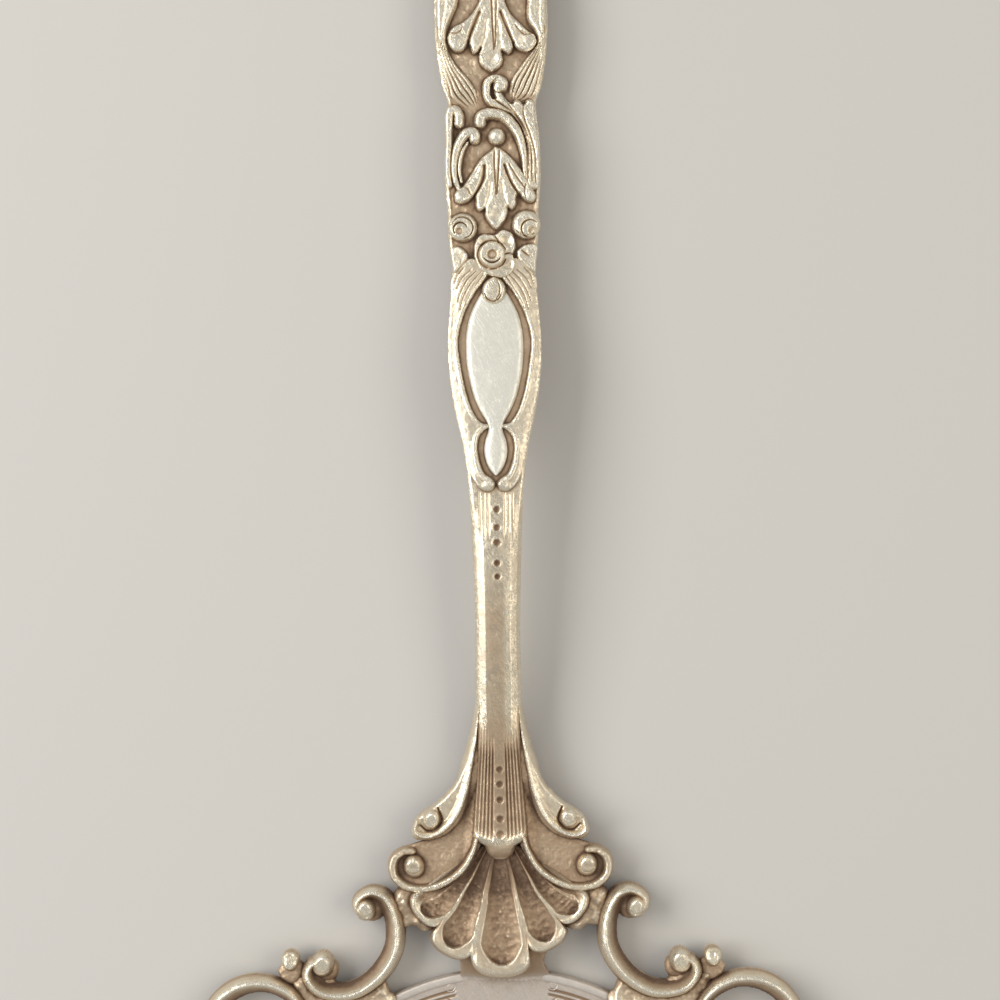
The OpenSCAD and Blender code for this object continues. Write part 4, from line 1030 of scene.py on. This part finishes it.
heel = Relief(HEEL_HALF + [(-x, y) for x, y in HEEL_HALF], 0.16, FOOT)
heel.mound(HEEL_HALF + [(-x, y) for x, y in HEEL_HALF[::-1]], heel_top, 0.3, low=-0.76)
# Painted shade: the plate is darkened where it lies under the shell, all but a strip at its edge by the
# blade
heel.mark += 0.55 * ease((heel.y + 1.3) / 1.1)
piece("heel_plate", [heel.shell(0.03, 0.8)], at_heel, DARK, "blade")


# Blade: a sheet with a moulded rim, an engraved double line and bright-cut hatching along it

# Half width of the rim, and how far along the edge from the middle of the heel the lines start
RIM_HALF, LINE_START = 0.62, 7.0


def blade_outline(count):
    """Points round the blade's edge, and how far along the edge each is from the middle of the heel."""
    lean = math.asin((BLADE_R - TIP_R) / (HEEL_CY - TIP_CY))
    heel = np.linspace(math.pi / 2, -lean, count // 2)
    tip = np.linspace(-lean, -math.pi / 2, count // 4)
    right = np.vstack([
        np.column_stack([BLADE_R * np.cos(heel), HEEL_CY + BLADE_R * np.sin(heel)]),
        np.column_stack([TIP_R * np.cos(tip), TIP_CY + TIP_R * np.sin(tip)]),
    ])
    steps = np.r_[0, np.cumsum(np.linalg.norm(np.diff(right, axis=0), axis=1))]
    at = np.linspace(0, steps[-1], count)
    right = np.column_stack([np.interp(at, steps, right[:, k]) for k in range(2)])
    left = right[-2:0:-1] * [-1, 1]
    return np.vstack([right, left]), np.r_[at, at[-2:0:-1]]


def blade():
    edge, run = blade_outline(700)
    n = len(edge)
    d = np.roll(edge, -1, 0) - np.roll(edge, 1, 0)
    d /= np.linalg.norm(d, axis=1)[:, None]
    inward = np.column_stack([d[:, 1], -d[:, 0]])
    inward *= np.sign(((np.array([0, HEEL_CY - 10]) - edge) * inward).sum(1))[:, None]
    depth = np.concatenate([np.linspace(0, 1.3, 14), np.linspace(1.4, 4.4, 34), [5.5, 7, 9, 11.5]])
    S = run[:, None]
    D = depth[None, :] + 0 * S
    away = ease((S - 4.5) / 2.5)
    rim = 0.28 * vault((D - RIM_HALF) / RIM_HALF) * away
    line = bell(D, 2.3, 0.16) + bell(D, 3.0, 0.14)
    hatch = np.clip(np.cos(S * 4.2 + D * 2.6), 0, 1) ** 4 * window(D, 3.05, 3.2, 3.7, 4.2)
    started = ease((S - LINE_START) / 0.4)
    h = BLADE_T + rim - (0.28 * line + 0.16 * hatch) * started
    h = h - 0.25 * np.clip(1 - D / 0.25, 0, 1) ** 2
    plan = edge[:, None, :] + inward[:, None, :] * depth[None, :, None]
    top = np.concatenate([plan, h[..., None]], -1)
    # The middle of the sheet, drawn in to the long axis
    core = top[:, -1:].copy()
    core[..., 0] *= 0.5
    foot = top[:, 0].copy()
    foot[:, 2] = 0.15
    sole = np.concatenate([edge + 0.15 * inward, np.zeros((n, 1))], 1)
    rows = np.concatenate([sole[:, None], foot[:, None], top, core], 1)
    m = rows.shape[1]
    faces = []
    for i in range(n):
        j = (i + 1) % n
        faces += [[i * m + k, j * m + k, j * m + k + 1, i * m + k + 1] for k in range(m - 1)]
    faces.append([i * m for i in range(n)])
    faces.append([i * m + m - 1 for i in range(n - 1, -1, -1)])
    # Oxide darkens the engraved lines and hatching; the moulded rim is painted lighter, rubbed bright and
    # with a painted highlight along it
    brown = 0.7 * (line + hatch) * started - 0.6 * rim
    marks = np.concatenate([np.zeros((n, 2)), brown, np.zeros((n, 1))], 1)
    return rows.reshape(-1, 3), faces, marks.ravel()


def engraved_ring(x, y):
    """A punched ring at the end of the engraved line."""
    return disc((x, y), 0.75, lambda p: BLADE_T + 0.06 - 0.22 * bell(p, 0.72, 0.12), BLADE_T - 0.3)


rings = [engraved_ring(-7.3, HEEL_Y - 2.45), engraved_ring(7.2, HEEL_Y - 2.35)]
piece("blade", [blade(), *rings], as_is, POLISHED, "blade")


# Patina, with painted contact shade at the finest scale: brown where a place lies lower than what stands
# round it


def blur(grid, sigma):
    radius = int(3 * sigma) + 1
    k = np.exp(-0.5 * (np.arange(-radius, radius + 1) / sigma) ** 2)
    k /= k.sum()
    for axis in (0, 1):
        total = np.zeros_like(grid)
        padded = np.pad(grid, [(radius, radius) if ax == axis else (0, 0) for ax in (0, 1)])
        for i, weight in enumerate(k):
            part = padded[i : i + grid.shape[0]] if axis == 0 else padded[:, i : i + grid.shape[1]]
            total += weight * part
        grid = total
    return grid


# A map of heights over the whole server
PITCH = 0.12
LOW = np.array([-46.0, -52.0])
SIZE = (int(92 / PITCH), int(272 / PITCH))
# Scales of the patina: spread of what lies round a place, depth that counts as low, limit and weight
SCALES = [(0.17, 0.17, 2, 0.31), (0.5, 0.4, 1.6, 0.17), (1.5, 0.7, 1.6, 0.13)]
BARE = 0.27


def cells(points):
    at = ((points[:, :2] - LOW) / PITCH).astype(int)
    return np.clip(at[:, 0], 0, SIZE[0] - 1), np.clip(at[:, 1], 0, SIZE[1] - 1)


def look_up(field, points):
    at = np.clip((points[:, :2] - LOW) / PITCH - 0.5, 0, np.array(SIZE) - 1.01)
    i, j = at.astype(int).T
    s, t = (at % 1).T
    near = field[i, j] * (1 - s) + field[i + 1, j] * s
    far = field[i, j + 1] * (1 - s) + field[i + 1, j + 1] * s
    return near * (1 - t) + far * t


def height_map():
    grid = np.full(SIZE, -1.0)
    shares = (0.0, 0.33, 0.67, 1.0)
    for p in pieces:
        quads = np.array([f for f in p["faces"] if len(f) == 4])
        a, b, c, d = (p["points"][quads[:, k]] for k in range(4))
        for s in shares:
            for t in shares:
                x = (a * (1 - s) + b * s) * (1 - t) + (d * (1 - s) + c * s) * t
                np.maximum.at(grid, cells(x), x[:, 2])
    return grid


def add_patina_and_painted_light():
    grid = height_map()
    full = (grid > -0.5).astype(float)
    filled = np.where(full > 0, grid, 0)
    fields = []
    for sigma, *_ in SCALES:
        share = np.maximum(blur(full, sigma / PITCH), 1e-3)
        fields.append(blur(filled, sigma / PITCH) / share)
    # Oxide stays in closed hollows, and is rubbed off the outer edges, which the widest share tells
    closed = ease((share - 0.55) / 0.35)
    for p in pieces:
        z = p["points"][:, 2]
        shut = look_up(closed, p["points"])
        tarnish_and_painted_light = BARE + p["stain"]
        for k, (_, depth, most, weight) in enumerate(SCALES):
            low = np.clip((look_up(fields[k], p["points"]) - z) / depth, -1, most)
            # At the finest scale a dark line lies close along the foot of a wall, and fades fast: oxide
            # there, with painted contact shade along it
            dark = most * ease((low - 0.25) / (most - 0.25)) if k == 0 else low
            tarnish_and_painted_light = tarnish_and_painted_light + weight * np.where(low > 0, dark * shut, low)
        p["patina_and_painted_light"] = np.clip(tarnish_and_painted_light, 0, 1)


add_patina_and_painted_light()


# Materials


class Nodes:
    """A short way to build a node tree."""

    def __init__(self, name):
        self.material = bpy.data.materials.new(name)
        self.material.use_nodes = True
        self.tree = self.material.node_tree
        self.shader = self.tree.nodes["Principled BSDF"]

    def add(self, kind, inputs=None, **settings):
        node = self.tree.nodes.new(kind)
        for key, value in settings.items():
            setattr(node, key, value)
        for key, value in (inputs or {}).items():
            self.set(node.inputs[key], value)
        return node

    def set(self, socket, value):
        if isinstance(value, bpy.types.NodeSocket):
            self.tree.links.new(value, socket)
        else:
            socket.default_value = value

    def math(self, operation, a, b=0.5, c=0.5):
        return self.add("ShaderNodeMath", {0: a, 1: b, 2: c}, operation=operation).outputs[0]

    def sway(self, noise, amount, value):
        """A value that a noise moves up and down."""
        return self.math("MULTIPLY_ADD", self.math("SUBTRACT", noise, 0.5), amount, value)

    def noise(self, where, scale, detail, roughness):
        inputs = {"Vector": where, "Scale": scale, "Detail": detail, "Roughness": roughness}
        return self.add("ShaderNodeTexNoise", inputs).outputs["Fac"]

    def span(self, value, low, high, to_low, to_high):
        inputs = {"Value": value, "From Min": low, "From Max": high, "To Min": to_low, "To Max": to_high}
        return self.add("ShaderNodeMapRange", inputs).outputs[0]

    def ramp(self, value, stops):
        node = self.add("ShaderNodeValToRGB", {"Fac": value})
        ramp = node.color_ramp
        while len(ramp.elements) < len(stops):
            ramp.elements.new(0.5)
        for element, (at, colour) in zip(ramp.elements, stops):
            element.position = at
            element.color = (*colour, 1)
        return node.outputs["Color"]


def silver(name, colours, rough, metal, grain, scratch):
    """Silver, brown in its hollows and rubbed bright on its crests, and carrying the painted shade,
    reflection and highlights of its attribute. rough and metal: crest, hollow.
    """
    n = Nodes(name)
    where = n.add("ShaderNodeTexCoord").outputs["Object"]
    patina_and_painted_light = n.add("ShaderNodeAttribute", attribute_name="patina_and_painted_light").outputs["Fac"]
    cloud = n.noise(where, 420, 6, 0.65)
    speck = n.noise(where, 2600, 3, 0.7)
    fine = n.noise(where, 7000, 2, 0.5)
    # Patches of tarnish shift the oxide up and down
    tarnish_and_painted_light = n.sway(speck, 0.22, n.sway(cloud, 0.3, patina_and_painted_light))
    n.set(n.shader.inputs["Base Color"], n.ramp(tarnish_and_painted_light, colours))
    # Hairline scratches are the middle level of a stretched noise
    turned = {"Vector": where, "Scale": (0.00018, 0.003, 0.0005), "Rotation": (0, 0, 0.6)}
    hair = n.noise(n.add("ShaderNodeMapping", turned, vector_type="TEXTURE").outputs[0], 1.0, 2, 0.4)
    level = n.math("ABSOLUTE", n.math("MULTIPLY_ADD", hair, 2.0, -1.0))
    scratches = n.math("POWER", n.math("SUBTRACT", 1.0, level), 30.0)
    patchy = n.sway(cloud, 0.22, n.span(tarnish_and_painted_light, 0.2, 0.85, *rough))
    n.set(n.shader.inputs["Roughness"], n.math("MULTIPLY_ADD", scratches, 0.08, patchy))
    n.set(n.shader.inputs["Metallic"], n.span(tarnish_and_painted_light, 0.4, 0.95, *metal))
    relief = n.sway(speck, grain, n.math("MULTIPLY", fine, grain * 0.6))
    height = n.math("MULTIPLY_ADD", scratches, -scratch, relief)
    bump = n.add("ShaderNodeBump", {"Height": height, "Strength": 0.6, "Distance": 0.00012})
    n.set(n.shader.inputs["Normal"], bump.outputs[0])
    return n.material


CREST, PALE, BEIGE = (0.95, 0.90, 0.77), (0.88, 0.80, 0.64), (0.65, 0.52, 0.375)
BROWN, UMBER = (0.42, 0.30, 0.20), (0.18, 0.115, 0.075)
WORN = [(0.0, CREST), (0.27, PALE), (0.5, BEIGE), (0.75, BROWN), (1.0, UMBER)]
SATIN = [(0.0, (0.92, 0.92, 0.84)), (0.3, (0.86, 0.85, 0.76)), (0.6, BEIGE), (1.0, BROWN)]
SHEET = [(0.1, (0.82, 0.76, 0.70)), (0.3, (0.69, 0.62, 0.555)), (0.5, (0.48, 0.40, 0.33)), (1.0, BROWN)]
LOOKS = {
    "cast": silver("cast_silver", WORN, (0.26, 0.58), (0.84, 0.5), 0.6, 0.25),
    "bar": silver("bar_silver", WORN, (0.2, 0.56), (1, 0.6), 0.7, 0.3),
    "polished": silver("polished_silver", SATIN, (0.26, 0.5), (0.35, 0.3), 0.3, 0.3),
    "blade": silver("blade_silver", SHEET, (0.38, 0.55), (0.7, 0.5), 0.45, 0.25),
}


def make_meshes():
    for p in pieces:
        points = p["points"]
        mesh = bpy.data.meshes.new(p["name"])
        tris = np.array([(f[0], f[k], f[k + 1]) for f in p["faces"] for k in range(1, len(f) - 1)])
        a, b, c = (points[tris[:, k]] for k in range(3))
        inside_out = np.einsum("ij,ij->", a, np.cross(b, c)) < 0
        faces = [f[::-1] for f in p["faces"]] if inside_out else p["faces"]
        mesh.from_pydata((points * MM).tolist(), [], faces)
        mesh.shade_smooth()
        mesh.set_sharp_from_angle(angle=math.radians(50))
        patina_and_painted_light = mesh.attributes.new("patina_and_painted_light", "FLOAT", "POINT")
        patina_and_painted_light.data.foreach_set("value", p["patina_and_painted_light"].astype(np.float32))
        mesh.materials.append(LOOKS[p["look"]])
        mesh.validate()
        thing = bpy.data.objects.new(p["name"] + ".look", mesh)
        bpy.context.scene.collection.objects.link(thing)
        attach(thing, "root")
        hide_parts(p["name"])


make_meshes()


# Stage

scene = bpy.context.scene
FLOOR_Z, FLOOR_HALF = -0.0004, 3
floor_mesh = bpy.data.meshes.new("floor")
corners = [(x * FLOOR_HALF, y * FLOOR_HALF, FLOOR_Z) for x, y in ((-1, -1), (1, -1), (1, 1), (-1, 1))]
floor_mesh.from_pydata(corners, [], [(0, 1, 2, 3)])
floor = bpy.data.objects.new("floor", floor_mesh)
scene.collection.objects.link(floor)
paper = Nodes("floor")
paper.shader.inputs["Base Color"].default_value = (0.66, 0.65, 0.63, 1)
paper.shader.inputs["Roughness"].default_value = 0.9
floor_mesh.materials.append(paper.material)

world = bpy.data.worlds.new("studio")
world.use_nodes = True
sky = world.node_tree.nodes["Background"].inputs
sky["Color"].default_value = (1.0, 0.985, 0.96, 1)
sky["Strength"].default_value = 0.42
scene.world = world


def softbox(name, place, size, power, colour):
    """An area lamp that faces the middle of the picture."""
    light = bpy.data.lights.new(name, "AREA")
    light.shape = "RECTANGLE"
    light.size, light.size_y = size
    light.energy = power
    light.color = colour
    thing = bpy.data.objects.new(name, light)
    thing.location = place
    thing.rotation_euler = (Vector(MIDDLE) - Vector(place)).to_track_quat("-Z", "Y").to_euler()
    scene.collection.objects.link(thing)


MIDDLE = (0, 0.1164, 0.005)
softbox("key", (-0.5, 0.24, 0.42), (0.6, 0.36), 3.2, (1.0, 0.975, 0.93))
softbox("fill", (0.42, 0.1, 0.44), (0.5, 0.3), 0.9, (1.0, 0.9, 0.75))

# Camera: straight down, 140 mm from edge to edge of the picture
SPAN, LENS, SENSOR = 0.140, 80.0, 36.0
# The photograph's middle lies a little right of the server, which stands a little turned in it
PHOTO_X, PHOTO_TURN = 0.0005, -0.65
camera_data = bpy.data.cameras.new("camera")
camera_data.lens = LENS
camera_data.sensor_width = SENSOR
camera_data.clip_start, camera_data.clip_end = 0.01, 10
camera = bpy.data.objects.new("camera", camera_data)
camera.location = (PHOTO_X, MIDDLE[1], MIDDLE[2] + SPAN / SENSOR * LENS)
camera.rotation_euler = (0, 0, math.radians(PHOTO_TURN))
scene.collection.objects.link(camera)
scene.camera = camera

scene.view_settings.view_transform = "Standard"
